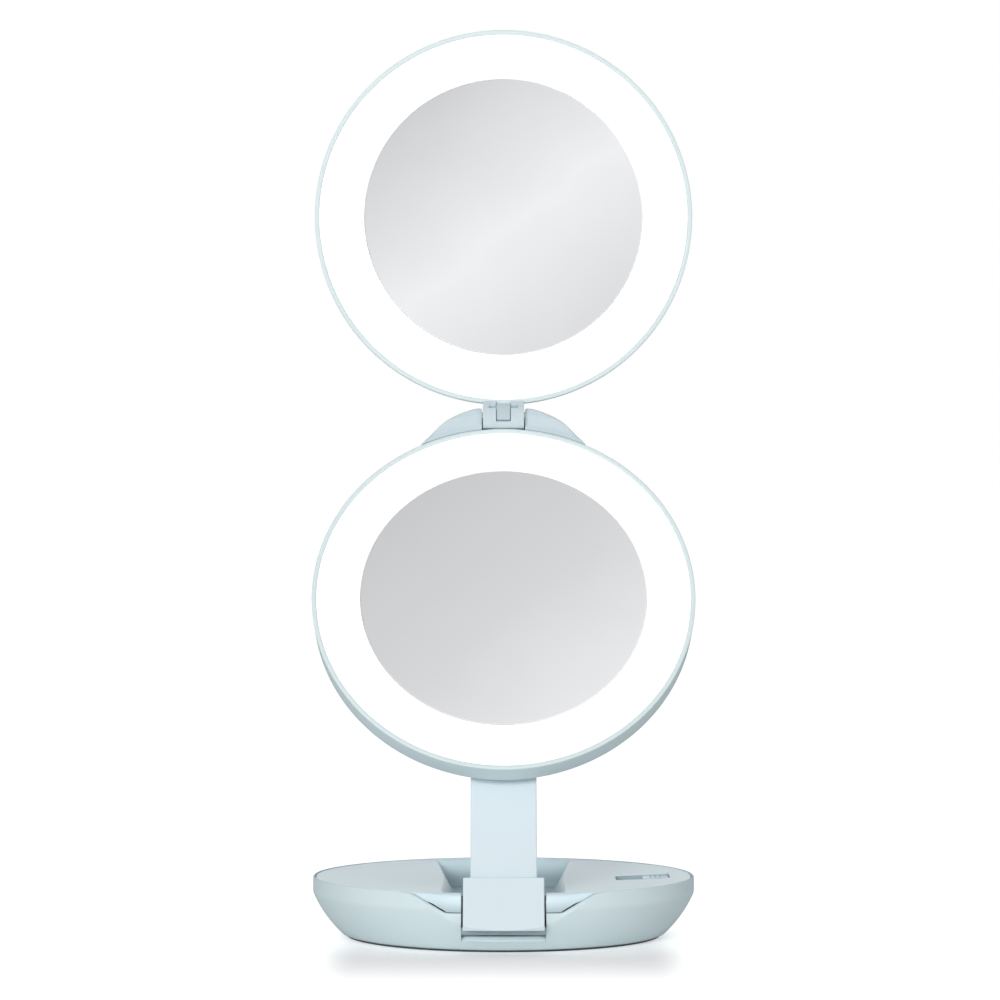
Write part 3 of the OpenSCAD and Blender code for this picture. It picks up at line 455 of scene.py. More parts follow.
def silvered_glass_with_painted_reflection(name, painted_reflection_greys, centre, radius):
    """Silvered glass with a very faint haze, and a painted reflection: its grey runs through three values
    across the glass, from its top left to its bottom right."""
    f = Finish(name)
    towards, middle_stop = (0.62, 0.0, -0.78), 0.55
    offset = f.add("ShaderNodeVectorMath", {0: f.coords, 1: tuple(float(c) * MM for c in centre)},
                   operation="SUBTRACT").outputs["Vector"]
    along = f.add("ShaderNodeVectorMath", {0: offset, 1: towards}, operation="DOT_PRODUCT").outputs["Value"]
    fade = f.add("ShaderNodeMapRange", {"Value": along, "From Min": -radius * MM, "From Max": radius * MM})
    mixed = f.maths("ADD", fade.outputs["Result"], f.spread(f.noise(30, 2), -0.02, 0.02), use_clamp=True)
    # The ramp's greys are a painted reflection across the glass
    silver = f.add("ShaderNodeValToRGB", {"Fac": mixed})
    stops = silver.color_ramp.elements
    stops.new(middle_stop)
    for stop, grey in zip(stops, painted_reflection_greys):
        stop.color = (grey, grey * 1.005, grey * 1.02, 1)
    return f.shader({"Base Color": silver.outputs["Color"], "Metallic": 1.0,
                     "Roughness": f.spread(f.noise(14, 3), 0.02, 0.05)})


def rubber(name, colour):
    """Matt rubber with a fine grain."""
    f = Finish(name)
    base = f.tint(f.spread(f.noise(5, 3), 0, 1), scaled(colour, 0.85), scaled(colour, 1.15))
    return f.shader({"Base Color": base, "Roughness": f.spread(f.noise(2, 2), 0.7, 0.85),
                     "Normal": f.bump(f.noise(0.25, 3), 0.02)})


def steel(name, colour, rough=0.3):
    """Plated steel, brushed along X."""
    f = Finish(name)
    stretched = f.add("ShaderNodeMapping", {"Vector": f.coords, "Scale": (0.08, 1, 1)}).outputs["Vector"]
    lines = f.noise(0.3, 3, 0.6, stretched)
    base = f.tint(f.spread(lines, 0, 1), scaled(colour, 0.9), scaled(colour, 1.08))
    return f.shader({"Base Color": base, "Metallic": 1.0, "Normal": f.bump(lines, 0.004),
                     "Roughness": f.spread(lines, rough - 0.08, rough + 0.08)})


def board_green(name, colour):
    """Circuit board: lacquer with copper tracks that show as slightly lighter paths."""
    f = Finish(name)
    tracks = f.add("ShaderNodeTexVoronoi", {"Vector": f.coords, "Scale": 450.0}, feature="DISTANCE_TO_EDGE",
                   distance="MANHATTAN").outputs["Distance"]
    path = f.add("ShaderNodeMapRange",
                 {"Value": tracks, "From Min": 0.05, "From Max": 0.09}).outputs["Result"]
    return f.shader({"Base Color": f.tint(path, scaled(colour, 1.5), colour), "Roughness": 0.3,
                     "Coat Weight": 0.4, "Normal": f.bump(path, 0.03)})


# Painted light and shade in the deck's colour: painted shade down into the pocket and on the lands, a
# painted highlight at the lands' fronts, and painted shade towards the rim behind
DECK_PAINTED_LIGHT_AND_SHADE = [("Z", 18.9, 12.0, (0.46, 0.49, 0.505)), ("Y", -51.5, -55.5, (0.86, 0.87, 0.88)),
               ("Y", -57.3, -60.3, (1.16, 1.135, 1.12)), ("Y", 50, 59, (0.84, 0.85, 0.86))]
# Radius over which the painted reflection runs across each glass
PAINTED_REFLECTION_R = 48
FINISHES = {}


def finish(key):
    """Material of a name, made once."""
    if key not in FINISHES:
        look = bpy.context.scene.mirror_finish
        gloss = look.gloss
        make = {
            "shell": lambda: plastic("shell_plastic", look.shell, gloss),
            "deck": lambda: plastic("deck_plastic", look.deck, gloss + 0.08, 0.68, DECK_PAINTED_LIGHT_AND_SHADE),
            # Tray plastic: darker than the deck, painted shade in the switch's slot
            "tray": lambda: plastic("tray_plastic", linear(172, 190, 197), 0.45),
            # Hinge plastic: the shell's plastic darkened, painted shade on the bracket and the barrel
            "hinge": lambda: plastic("hinge_plastic_painted_shade", linear(200, 214, 219), gloss),
            # Tongue plastic: the lip's plastic darkened, painted shade
            "tongue": lambda: plastic("tongue_plastic_painted_shade", linear(188, 203, 209), gloss),
            "stand": lambda: plastic("stand_plastic", look.stand, gloss + 0.06),
            "lip": lambda: plastic("lip_plastic", look.lip, gloss - 0.04),
            "diffuser": lambda: milk_light("milky_light", look.light),
            "lower_mirror": lambda: silvered_glass_with_painted_reflection("plain_silvered_glass", look.lower_painted_reflection, LOWER.origin,
                                                   PAINTED_REFLECTION_R),
            "upper_mirror": lambda: silvered_glass_with_painted_reflection("hollow_silvered_glass", look.upper_painted_reflection, UPPER.origin,
                                                   PAINTED_REFLECTION_R),
            "foot": lambda: rubber("foot_rubber", linear(66, 69, 73)),
            "foam": lambda: rubber("pad_foam", linear(88, 90, 94)),
            "steel": lambda: steel("plated_steel", linear(200, 202, 206)),
            "switch_case": lambda: steel("switch_case_steel", linear(176, 178, 182), 0.38),
            "white_plastic": lambda: plastic("white_tray_plastic", linear(240, 242, 243), 0.4),
            "board": lambda: board_green("board_lacquer", linear(52, 110, 80)),
            "led": lambda: milk_light("light_chip", 1.4),
            "cell": lambda: plastic("cell_sleeve", linear(78, 84, 94), 0.3),
        }
        FINISHES[key] = make[key]()
    return FINISHES[key]


# Base

BASE_R, BASE_H, BASE_WALL = 64.0, 20.0, 2.0
# Outer form: the foot with its round, and an arc that bulges out up to the upright band
FOOT_R, FOOT_Z, FOOT_ROUND, BULGE_R, BAND_Z, BAND_SOFT = 53.9, 0.65, 0.7, 40.0, 14.6, 0.3
# Top edge: the dip at the front, how far it lies under the deck's seam, and the rounds of the dip and the rim
DIP_LOW, DIP_FLAT, DIP_RISE, DIP_END, DIP_SLOPE = 13.6, 19.0, 28.0, 33.0, 0.567
SEAM_DROP, DIP_ROUND, RIM_ROUND, RIM_R, RIM_DEEP, INNER_DEEP = 0.14, 0.65, 0.35, 63.3, 2.0, 2.5
# Facets beside the notch: depth, the distances from the middle at which they start to run out and have run
# out, and the heights of their crease at distances from the middle
FACET_DEPTH, FACET_FLAT, FACET_END = 1.0, 20, 31
CREASE = ((0, 13.2, 17.4, 21.9, 27.4, 31), (8.8, 8.8, 10.7, 13.9, 18.0, 20.0))
# Notch of the hinge block: half its width, and the ledge under it
NOTCH, LEDGE_LOW, LEDGE_TOP, LEDGE_IN, LEDGE_BACK = 13.7, 3.7, 5.4, 55.6, 50.5
# Height of the floor inside and of the bottom, the seat of the soft ring, and the ring
FLOOR_Z, BOTTOM_Z, SEAT_IN, SEAT_OUT, SEAT_DEEP = 3.2, 0.8, 45.2, 52.8, 0.5
RING_IN, RING_OUT, RING_DEEP = 45.6, 52.7, 0.45
# Opening of the battery door (gap at its left, right side, half length, top), its bay in the ring, and screws
DOOR_GAP, DOOR_X, DOOR_HALF, DOOR_TOP = 0.3, -17.2, 23.2, 4.2
BAY_LEFT, BAY_RIGHT, BAY_HALF, BAY_TOP = -46.0, -18.0, 23.5, 4
SCREW_AT, SCREW_R, SCREW_DEEP = (-30, 30), 2.4, 2.4
# Rows of the shell's wall and ledge, its columns in the notch, and the turn up to which the others lie close
WALL_ROWS, LEDGE_ROWS, NOTCH_COLUMNS, CLOSE_TURN = 46, 40, 9, math.radians(32)
# Deck: radii of the rim and the lands, top of the dish, its extra rise from a radius up to the rim, thickness,
# and the power of the lands' round form. Then the round of the rim, and how far the underside is drawn in
DECK_R, LAND_R, DISH_TOP, RISE, RISE_R, DECK_T, LAND_POWER = 63.0, 62.2, 19.4, 0.4, 52, 1.6, 3.6
DECK_ROUND, DECK_EDGE = 0.4, 0.8
# Pocket: floor, front, back, lean of its side walls from upright in degrees, and how far its end walls run out
# for each millimetre of height. Then how soft its back corners and its foot are, and half its width along Y
POCKET_Z, POCKET_FRONT, POCKET_BACK, POCKET_LEAN, FRONT_RUN, BACK_RUN = 10.5, -48.6, 58.0, 28, 0.1, 0.22
POCKET_CORNER, POCKET_FOOT = 1.6, 1.2
POCKET_SIDE = ((-62, -49, -34, -20, 0, 18.5, 51, 60), (18.9, 19.2, 20.2, 20.2, 20.0, 20.3, 22.2, 22.8))
# Cradle of the hinge block
HINGE_Y, HINGE_Z, CRADLE_R, CRADLE_LOW, CRADLE_FRONT = float(HINGE[1]), float(HINGE[2]), 6.7, 10.0, 59.6
# Slot of the switch: how far it lies inside its tray, its corners, and the wall of its liner
SLOT_IN, SLOT_ROUND, LINER, LINER_GAP, LINER_DEEP = 1.2, 0.8, 0.28, 0.02, 3


def seam_height(ax):
    """Height of the shell's top edge at a distance ax from the middle of the front: level at both ends, with
    a straight rise between that eases into the rim."""
    rise = DIP_LOW + DIP_SLOPE * (ax - DIP_FLAT)
    ease = BASE_H - 0.052 * np.maximum(DIP_END - ax, 0) ** 2
    top = np.where(ax < DIP_RISE, rise, ease)
    return np.where(ax < DIP_RISE - 2, smooth_max(top, DIP_LOW, 0.5), top)


def form_radius(z):
    """Radius of the base at a height: an arc that bulges out from the foot to the band, and then upright,
    with the corner between them softened."""
    x, y = arc_centre((FOOT_R, FOOT_Z), (BASE_R, BAND_Z), BULGE_R)
    return smooth_min(x + half_chord(BULGE_R, z - y), BASE_R, BAND_SOFT)


def facet(ax, z, top):
    """How far the shell is drawn in below its seam beside the notch: nothing at the crease, most at the
    seam."""
    crease = np.interp(ax, *CREASE)
    depth = FACET_DEPTH * (1 - ramp(ax, FACET_FLAT, FACET_END))
    t = np.clip((z - crease) / np.maximum(top - crease, 0.5), 0, 1)
    return depth * smooth_max(t, 0, 0.25)


def column_turn(angle, radius):
    """Turn of a column at a radius: columns near the front are drawn together so that two of them stay at the
    notch's sides at every radius, and the rest are spread evenly behind them."""
    edge = math.asin(NOTCH / BASE_R)
    real = np.arcsin(np.clip(NOTCH / radius, -1, 1))
    a = np.abs(angle)
    inside = a / edge * real
    outside = real + (a - edge) * (math.pi - real) / (math.pi - edge)
    return np.sign(angle) * np.where(a <= edge, inside, outside)


def mirrored(half, inside):
    """Values from the middle outwards and the marks beside them, with their mirror image in front."""
    return np.concatenate([-half[::-1], half[1:]]), np.concatenate([inside[::-1], inside[1:]])


def shell_grid(columns):
    """Closed wall of the base: for each column the outer profile up to the seam, over the rim, and down
    inside to the floor and its middle. Between the notch's sides the profile stops at a bevelled ledge."""
    sides = spaced((math.asin(NOTCH / BASE_R), CLOSE_TURN, columns // 8), (CLOSE_TURN, math.pi, columns // 3))
    half = np.concatenate([np.linspace(0, sides[0], NOTCH_COLUMNS), sides])
    angle, low = mirrored(half, np.arange(len(half)) < NOTCH_COLUMNS)
    ax = np.where(np.abs(angle) > math.pi / 2, BASE_R, 0) + np.abs(BASE_R * np.sin(angle))
    top = seam_height(ax) - SEAM_DROP * (ax < DIP_END)
    z = FOOT_Z + (top - FOOT_Z) * np.linspace(0, 1, WALL_ROWS)[:, None]
    soft = np.where(ax < DIP_END, DIP_ROUND, RIM_ROUND)
    r = form_radius(z) - facet(ax, z, top) - rounding(FOOT_ROUND, FOOT_Z + FOOT_ROUND - z)
    r = r - rounding(soft, z - top + soft)
    inside = np.minimum(RIM_R, r[-1] - 0.3)
    z_in = FLOOR_Z + (top - INNER_DEEP - FLOOR_Z) * np.linspace(1, 0, 12)[:, None]
    r_in = np.minimum(form_radius(z_in) - BASE_WALL, inside - 0.4)
    r = np.concatenate([r, [inside + 0.25, inside + 0.07, inside, inside], r_in, [0 * top]])
    z = np.concatenate([z, [top, top - 0.07, top - 0.25, top - RIM_DEEP], z_in, [np.full_like(top, FLOOR_Z)]])
    ledge = filleted([(form_radius(LEDGE_LOW), LEDGE_LOW, 0.2), (LEDGE_IN, LEDGE_TOP, 0.25),
                      (LEDGE_BACK, LEDGE_TOP, 0.2), (LEDGE_BACK, FLOOR_Z, 0)], 3)[:-1]
    z_low = np.linspace(FOOT_Z, LEDGE_LOW, LEDGE_ROWS)
    r_low = form_radius(z_low) - rounding(FOOT_ROUND, FOOT_Z + FOOT_ROUND - z_low)
    rest = len(r) - len(z_low) - len(ledge) - 1
    r_low = np.concatenate([r_low, ledge[:, 0], np.linspace(LEDGE_BACK, LEDGE_BACK - 0.5, rest), [0]])
    z_low = np.concatenate([z_low, ledge[:, 1], np.full(rest + 1, FLOOR_Z)])
    seat_z = FOOT_Z + SEAT_DEEP
    under = filleted([(0, BOTTOM_Z, 0), (SEAT_IN, BOTTOM_Z, 0.1), (SEAT_IN, seat_z, 0), (SEAT_OUT, seat_z, 0),
                      (SEAT_OUT, FOOT_Z, 0.05), (FOOT_R - FOOT_ROUND, FOOT_Z, 0)], 2)
    under = under[:, :, None] + 0 * angle
    r = np.concatenate([under[:, 0], np.where(low, r_low[:, None], r)])
    z = np.concatenate([under[:, 1], np.where(low, z_low[:, None], z)])
    turn = np.where(r > NOTCH, column_turn(angle, np.maximum(r, NOTCH + 0.01)), angle)
    return np.stack([r * np.sin(turn), -r * np.cos(turn), z], -1)


def dish_height(r, dish):
    """Height of the deck's dish: lowest in the middle, rising with the square of the distance, and a little
    more up to the rim."""
    return DISH_TOP - dish + dish * (r / DECK_R) ** 2 + RISE * ramp(r, RISE_R, DECK_R)


def deck_plan():
    """Places x and y of the deck's points, which columns lie in the cradle, and where the deck ends at the
    front. Columns and rows lie closest where the pocket, the lands and the rim bend. Each side of the cradle
    has two columns, and the columns beside the pocket spread and draw in with its walls."""
    half = np.round(spaced((0, 12.2, 8), (12.2, 15.0, 12), (15.0, 19.0, 9), (19.0, 22.6, 16),
                           (22.6, 34.0, 22), (34, 60, 30), (60, DECK_R, 16)), 4)
    cradled = (half < NOTCH).sum()
    half = np.insert(half, cradled, (NOTCH, NOTCH))
    u, inner = mirrored(half, np.arange(len(half)) <= cradled)
    au, limit = np.abs(u), DECK_R - 1e-4
    circle = half_chord(limit, au)
    front = half_chord(LAND_R + (limit - LAND_R) * ramp(au, FACET_FLAT, FACET_END), au)
    front = np.where(inner, CRADLE_FRONT, front)
    outwards = ramp(au, 24, 30)
    mid = -POCKET_FRONT * (1 - outwards) + 0.78 * circle * outwards
    ahead = spaced((0, 0.02, 4), (0.02, 0.6, 30), (0.6, 0.92, 6), (0.92, 1, 6))[:, None]
    behind = spaced((0, 0.015, 6), (0.015, 0.92, 74), (0.92, 0.985, 28), (0.985, 1, 8))[1:, None]
    y = np.concatenate([-front + (front - mid) * ahead, -mid + (circle + mid) * behind])
    widen = np.interp(y, *POCKET_SIDE) - POCKET_SIDE[1][0]
    x = np.sign(u) * (au + widen * ramp(au, 0, 8) * (1 - ramp(au, 26, 46)))
    back = np.where(circle > 1e-3, half_chord(limit, x) / np.maximum(circle, 1e-6), 1)
    return x, np.where(y > 0, y * back, y), inner, front


def deck_grid(dish, soft, seam):
    """Top of the deck as heights over a grid: a shallow dish with a pocket of leaning walls sunk into it, the
    round lands that roll down to the seam at the front, and between them the cradle of the hinge block. The
    underside is the same surface, lower by the deck's thickness."""
    x, y, inner, front = deck_plan()
    ax, r = np.abs(x), np.hypot(x, y)
    dished = dish_height(r, dish)
    lean = math.tan(math.radians(POCKET_LEAN))
    wall = DISH_TOP - 0.8 * dish - (np.interp(y, *POCKET_SIDE) - ax) / lean
    back = np.where(y > 0, POCKET_Z + (r - POCKET_BACK) / BACK_RUN, -np.inf)
    pocket = smooth_max(smooth_max(wall, back, POCKET_CORNER), POCKET_Z, POCKET_FOOT)
    ahead = POCKET_Z + (POCKET_FRONT - y) / FRONT_RUN
    z = smooth_min(np.where(inner, pocket, np.maximum(pocket, ahead)), dished, soft)
    wide = seam * (0.6 + 1.3 * ramp(ax, 18.4, 19.4) * (1 - ramp(ax, 22.5, 25.5)))
    low = np.minimum(seam_height(ax) + wide - SEAM_DROP, dished - 0.4)
    depth = np.maximum(front + HINGE_Y, 1.0)
    t = np.clip((depth - front - y) / depth, 0, 1)
    landed = low + (dished - low) * (1 - t ** LAND_POWER) ** (1 / LAND_POWER)
    cradle = HINGE_Z - half_chord(CRADLE_R, y - HINGE_Y)
    cradle = np.where(np.abs(y - HINGE_Y) < CRADLE_R, cradle, CRADLE_LOW)
    cradle = np.where(y < HINGE_Y, np.minimum(cradle, CRADLE_LOW), cradle)
    z = np.where(inner & (y < HINGE_Y + half_chord(CRADLE_R, HINGE_Z - POCKET_Z)), cradle, z)
    z = np.where(~inner & (y < POCKET_FRONT - 0.25) & (ax < DIP_END + 4), landed, z)
    rim = rounding(DECK_ROUND, DECK_ROUND - np.clip(DECK_R - r, 0, DECK_ROUND))
    z = z - np.where((ax > DIP_END) | (y > 0), rim, 0)
    top = np.stack([x, y, z], -1)
    under = top * (1 - DECK_EDGE / DECK_R, 1 - DECK_EDGE / DECK_R, 1)
    under[..., 2] = np.maximum(z - DECK_T, FLOOR_Z + 1)
    under[0, :, 2] = z[0] - 0.02
    return top, under


def closed_sheet(top, under):
    """Top and underside of a sheet, with the strips that join their four edges."""
    edges = [np.stack([top[0], under[0]]), np.stack([top[-1], under[-1]]),
             np.stack([top[:, 0], under[:, 0]]), np.stack([top[:, -1], under[:, -1]])]
    return [top, under, *edges]


def cylinder_grid(x, y, radius, z0, z1, columns=40):
    """Upright cylinder."""
    g = lathe(np.array([[0, z0], [radius, z0], [radius, z1], [0, z1]], float), columns)
    return g + np.array([x, y, 0])


class MIRROR_OT_base_shell(bpy.types.Operator):
    """Bowl of the base with its dipped rim, its notch and the openings in its floor"""
    bl_idname = "mirror.base_shell"
    bl_label = "Base shell"

    def execute(self, context):
        grid = shell_grid(context.scene.mirror_shape.columns)
        shell = formed("BaseShell", [grid], WORLD, "base", "shell", "shell", "base_shell")
        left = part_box("battery_door")[0][0] / MM - DOOR_GAP
        cut(shell, cutter([box_grid(left, DOOR_X, -DOOR_HALF, DOOR_HALF, -1, DOOR_TOP, 0.6)]))
        for x in SCREW_AT:
            for y in SCREW_AT:
                cut(shell, cutter([cylinder_grid(x, y, SCREW_R, -1, SCREW_DEEP)]))
        return {"FINISHED"}


class MIRROR_OT_deck(bpy.types.Operator):
    """Dished deck with the pocket for the strap, the round lands, and the switch in its slot"""
    bl_idname = "mirror.deck"
    bl_label = "Deck and switch"

    def execute(self, context):
        s = context.scene.mirror_shape
        dish = s.deck_dish / MM
        sheet = closed_sheet(*deck_grid(dish, s.pocket_softness / MM, s.seam / MM))
        deck = formed("Deck", sheet, WORLD, "base", "deck", "deck", "deck")
        lo, hi = (np.array(v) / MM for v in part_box("switch_tray"))
        (x0, y0), (x1, y1) = lo[:2] + SLOT_IN, hi[:2] - SLOT_IN
        cut(deck, cutter([box_grid(x0, x1, y0, y1, 10, 25, SLOT_ROUND)]))
        # The tray and the slot's liner take the darker tray plastic: painted shade in the slot
        dressed("switch_tray", "base", "tray", 0.15)
        outer, inner = (filleted([(x0 + d, y0 + d, SLOT_ROUND - d), (x1 - d, y0 + d, SLOT_ROUND - d),
                                  (x1 - d, y1 - d, SLOT_ROUND - d), (x0 + d, y1 - d, SLOT_ROUND - d)])
                        for d in (LINER_GAP, LINER_GAP + LINER))
        rings = []
        for plan, down in ((outer, LINER_DEEP), (outer, 0.03), (inner, 0.03), (inner, LINER_DEEP),
                           (outer, LINER_DEEP)):
            ring = np.column_stack([plan, dish_height(np.hypot(*plan.T), dish) - down])
            rings.append(np.concatenate([ring, ring[:1]]))
        formed("SwitchFrame", [np.stack(rings)], WORLD, "base", "deck", "tray")
        dressed("switch_knob", "knob", "deck", 0.25)
        return {"FINISHED"}


class MIRROR_OT_underside(bpy.types.Operator):
    """Soft ring, battery door and screws under the base"""
    bl_idname = "mirror.underside"
    bl_label = "Underside"

    def execute(self, context):
        top = FOOT_Z + RING_DEEP
        section = filleted([(RING_IN, 0, 0.3), (RING_OUT, 0, 0.15), (RING_OUT, top, 0.05),
                            (RING_IN, top, 0.05)], 4)
        grid = lathe(np.concatenate([section, section[:1]]), context.scene.mirror_shape.columns)
        ring = formed("FootRing", [grid], WORLD, "base", "foot", "foot", "foot_ring")
        cut(ring, cutter([box_grid(BAY_LEFT, BAY_RIGHT, -BAY_HALF, BAY_HALF, -1, BAY_TOP, 0.4)]))
        dressed("battery_door", "door", "shell", 0.25)
        dressed("base_screws", "base", "steel", 0.2)
        return {"FINISHED"}


# Stand

BLOCK_W, BLOCK_FACE, BLOCK_BACK, BLOCK_REACH = 26.2, 4.9, 3.3, 9.3
# Cover: round of its edge, lower edge of its chin, and the arc that ends its face (its middle, and its rise
# to the side)
COVER_EDGE, CHIN_Z, ARC_LOW, ARC_RISE = 0.45, 8.1, -9.17, 1.49
STRAP_W, STRAP_T, STRAP_BACK, STRAP_START, STRAP_END = 21.6, 4.0, 1.6, 3.1, 100.0


def cover_grid(n=25):
    """Cover of the hinge block: rings from its back to its face. The face ends below in an arc, and under it
    a chin follows the base's round form down to a level edge. Across x, the arc's height rises with the
    square of x."""
    x = np.linspace(BLOCK_W / 2, -BLOCK_W / 2, n)
    arc = ARC_LOW + ARC_RISE * (2 * x / BLOCK_W) ** 2
    y, z = -half_chord(BASE_R, x) - HINGE_Y, CHIN_Z - HINGE_Z
    sin, cos = STAND.axes[1, 1:]
    chin, chin_out = sin * y + cos * z, -cos * y + sin * z
    rows = [(0, BLOCK_BACK, np.full(n, (z - sin * BLOCK_BACK) / cos), np.full(n, BLOCK_BACK)),
            (0, BLOCK_BACK + 0.1, chin, chin_out)]
    for t in np.linspace(0, math.pi / 2, 7):
        share = 0.8 + 0.2 * math.sin(t)
        rows.append((COVER_EDGE * (1 - math.cos(t)), BLOCK_FACE - COVER_EDGE * (1 - math.sin(t)),
                     chin + (arc - chin) * share, chin_out + (BLOCK_FACE - chin_out) * share))
    rings = []
    for inset, out, low, low_out in rows:
        half, top = BLOCK_W / 2 - inset, BLOCK_REACH - inset
        around = filleted([(-half, low[-1], 0), (-half, top, 0.3), (half, top, 0.3),
                           (half, low[0], 0)], 4)[1:-1]
        line = np.column_stack([np.concatenate([x * half / (BLOCK_W / 2), around[:, 0]]),
                                np.concatenate([low, around[:, 1]]),
                                np.concatenate([low_out, np.full(len(around), out)])])
        rings.append(np.concatenate([line, line[:1]]))
    middle, last = rings[0] * (0, 0, 1), rings[-1]
    middle[:, 2] = BLOCK_BACK
    return np.stack([middle, *rings, *[last * (k, k, 1) for k in (0.985, 0.96, 0)]])


class MIRROR_OT_stand(bpy.types.Operator):
    """Hinge block with its cover, and the strap with its stop"""
    bl_idname = "mirror.stand"
    bl_label = "Stand"

    def execute(self, context):
        formed("BlockCover", [cover_grid()], STAND, "stand", "shell", "stand", "block_cover")
        block = dressed("hinge_block", "stand", "stand", 0.35)
        chin_room = box_grid(-14, 14, -10, -5.25, 1.6, 3.6, 0.1)
        cut(block, cutter([chin_room], STAND))
        half, front = STRAP_W / 2, STRAP_T - STRAP_BACK
        section = filleted([(-half, -STRAP_BACK, 0.5), (half, -STRAP_BACK, 0.5), (half, front, 0.5),
                            (-half, front, 0.5)])
        grid = bar_along_y(section, STRAP_START, STRAP_END, 0.3)
        formed("StandStrap", [grid], STAND, "stand", "shell", "stand", "stand_strap")
        dressed("strap_stop", "stand", "steel", 0.15)
        return {"FINISHED"}


# Mirrors

LIP_T, DEPTH, WALL, SIDE_Z, RIM_W = 2.4, 10.0, 1.8, -0.35, 0.8
LOWER_FORM, UPPER_FORM = LOWER_R - 0.3, UPPER_R - 0.1
LOWER_LIP, UPPER_LIP = 1.5, 1.5
GLASS_R, GLASS_T, GLASS_SET, SAG = 47.5, 1.8, 0.5, 0.9
DIFFUSER_SET, DIFFUSER_T = 0.3, 1.5


def lower_case_profile():
    """Straight-sided case with a rounded back edge."""
    r = LOWER_FORM
    return filleted([(0, -DEPTH, 0), (r - 0.4, -DEPTH, 1.1), (r, SIDE_Z, 0.12), (r - RIM_W, SIDE_Z, 0.1),
                     (r - RIM_W, -LIP_T, 0), (r - WALL, -LIP_T, 0.1), (r - WALL - 0.5, -DEPTH + WALL, 0.5),
                     (0, -DEPTH + WALL, 0)], 8)


def upper_case_profile():
    """Case with a slightly crowned back and a round shoulder up to the lip."""
    r, crown, shoulder_w, shoulder_r = UPPER_FORM, 1.2, 7.3, 14.0
    back_r, wall_z, edge_z = r - shoulder_w, -DEPTH + crown, -LIP_T - 0.2
    crown_r = (back_r ** 2 + crown ** 2) / (2 * crown)
    x = np.linspace(0, back_r * 0.97, 14)
    back = np.stack([x, -DEPTH + crown_r - half_chord(crown_r, x)], 1)
    ends = np.array([back_r, wall_z]), np.array([r, edge_z])
    c = arc_centre(*ends, shoulder_r)
    a0, a1 = (math.degrees(math.atan2(*(v - c)[::-1])) for v in ends)
    shoulder = arc_points(c, shoulder_r, a0 + 1.5, a1, 14)
    inside = arc_points(c, shoulder_r - WALL, a1 - 6, a0, 8)
    top = [[r, SIDE_Z - 0.08], [r - 0.08, SIDE_Z], [r - RIM_W, SIDE_Z], [r - RIM_W, -LIP_T],
           [r - WALL, -LIP_T]]
    return np.concatenate([back, shoulder, top, inside, [[0, -DEPTH + WALL]]])


def lip_profile(r, lip, skirt_in):
    """Ring round a light: a rounded front on the case's rim, and a skirt that drops inside the case. The
    front is half an ellipse."""
    skirt, a = r - WALL - skirt_in, np.linspace(0, math.pi, 13)
    front = np.stack([r - lip / 2 + lip / 2 * np.cos(a), SIDE_Z * (1 - np.sin(a))], 1)
    shelf, rim = -DIFFUSER_SET - DIFFUSER_T, r - RIM_W - 0.05
    return np.concatenate([[[skirt - 0.8, -LIP_T - 0.8], [skirt, -LIP_T - 0.8], [skirt, -LIP_T + 0.02],
                            [rim, -LIP_T + 0.02], [rim, SIDE_Z + 0.02], [r - 0.02, SIDE_Z + 0.02]], front[1:],
                           [[r - lip, shelf], [skirt - 0.8, shelf], [skirt - 0.8, -LIP_T - 0.8]]])


def diffuser_profile(r_out, r_in):
    """Milky ring with a very slightly crowned front and rounded edges."""
    z0, z1, crown = -DIFFUSER_SET - DIFFUSER_T, -DIFFUSER_SET - 0.12, 0.12
    x = np.linspace(r_in + 0.25, r_out - 0.25, 12)
    t = (x - r_in) / (r_out - r_in) * 2 - 1
    front = np.stack([x, z1 + crown * (1 - t ** 2)], 1)
    return np.concatenate([[[r_in, z0], [r_in, z1 - 0.2], [r_in + 0.07, z1 - 0.06]], front,
                           [[r_out - 0.07, z1 - 0.06], [r_out, z1 - 0.2], [r_out, z0], [r_in, z0]]])


def glass_profile(sag):
    """Disc of glass with a ground edge, whose front is hollow by a sag."""
    r = GLASS_R
    z_back = -GLASS_SET - GLASS_T
    x = np.linspace(r - 0.3, 0, 40)
    if sag:
        hollow = (r ** 2 + sag ** 2) / (2 * sag)
        front = -GLASS_SET - sag + hollow - half_chord(hollow, x)
    else:
        front = np.full_like(x, -GLASS_SET)
    return np.concatenate([[[0, z_back], [r - 0.3, z_back], [r, z_back + 0.3], [r, front[0] - 0.3]],
                           np.stack([x, front], 1)])


def round_pieces(context, place, prefix, form, lip, skirt_in, case, sag):
    """Turned pieces of one mirror: each is a profile turned round the mirror's own axis."""
    body = prefix + "_mirror"
    for name, profile, slot, look in (
            ("case", case, "shell", "shell"),
            ("lip_ring", lip_profile(form, lip, skirt_in), "lip", "lip"),
            ("diffuser", diffuser_profile(form - lip - 0.1, GLASS_R + 0.1), "diffuser", "diffuser"),
            ("glass", glass_profile(sag), "mirror", body)):
        node = prefix + "_" + name
        grid = lathe(profile, context.scene.mirror_shape.columns)
        formed(node.title().replace("_", ""), [grid], place, body, slot, look, node)


class MIRROR_OT_lower_mirror(bpy.types.Operator):
    """Case, lip, light ring and plain glass of the lower mirror"""
    bl_idname = "mirror.lower_mirror"
    bl_label = "Lower mirror"

    def execute(self, context):
        round_pieces(context, LOWER, "lower", LOWER_FORM, LOWER_LIP, 0.1, lower_case_profile(), 0)
        return {"FINISHED"}


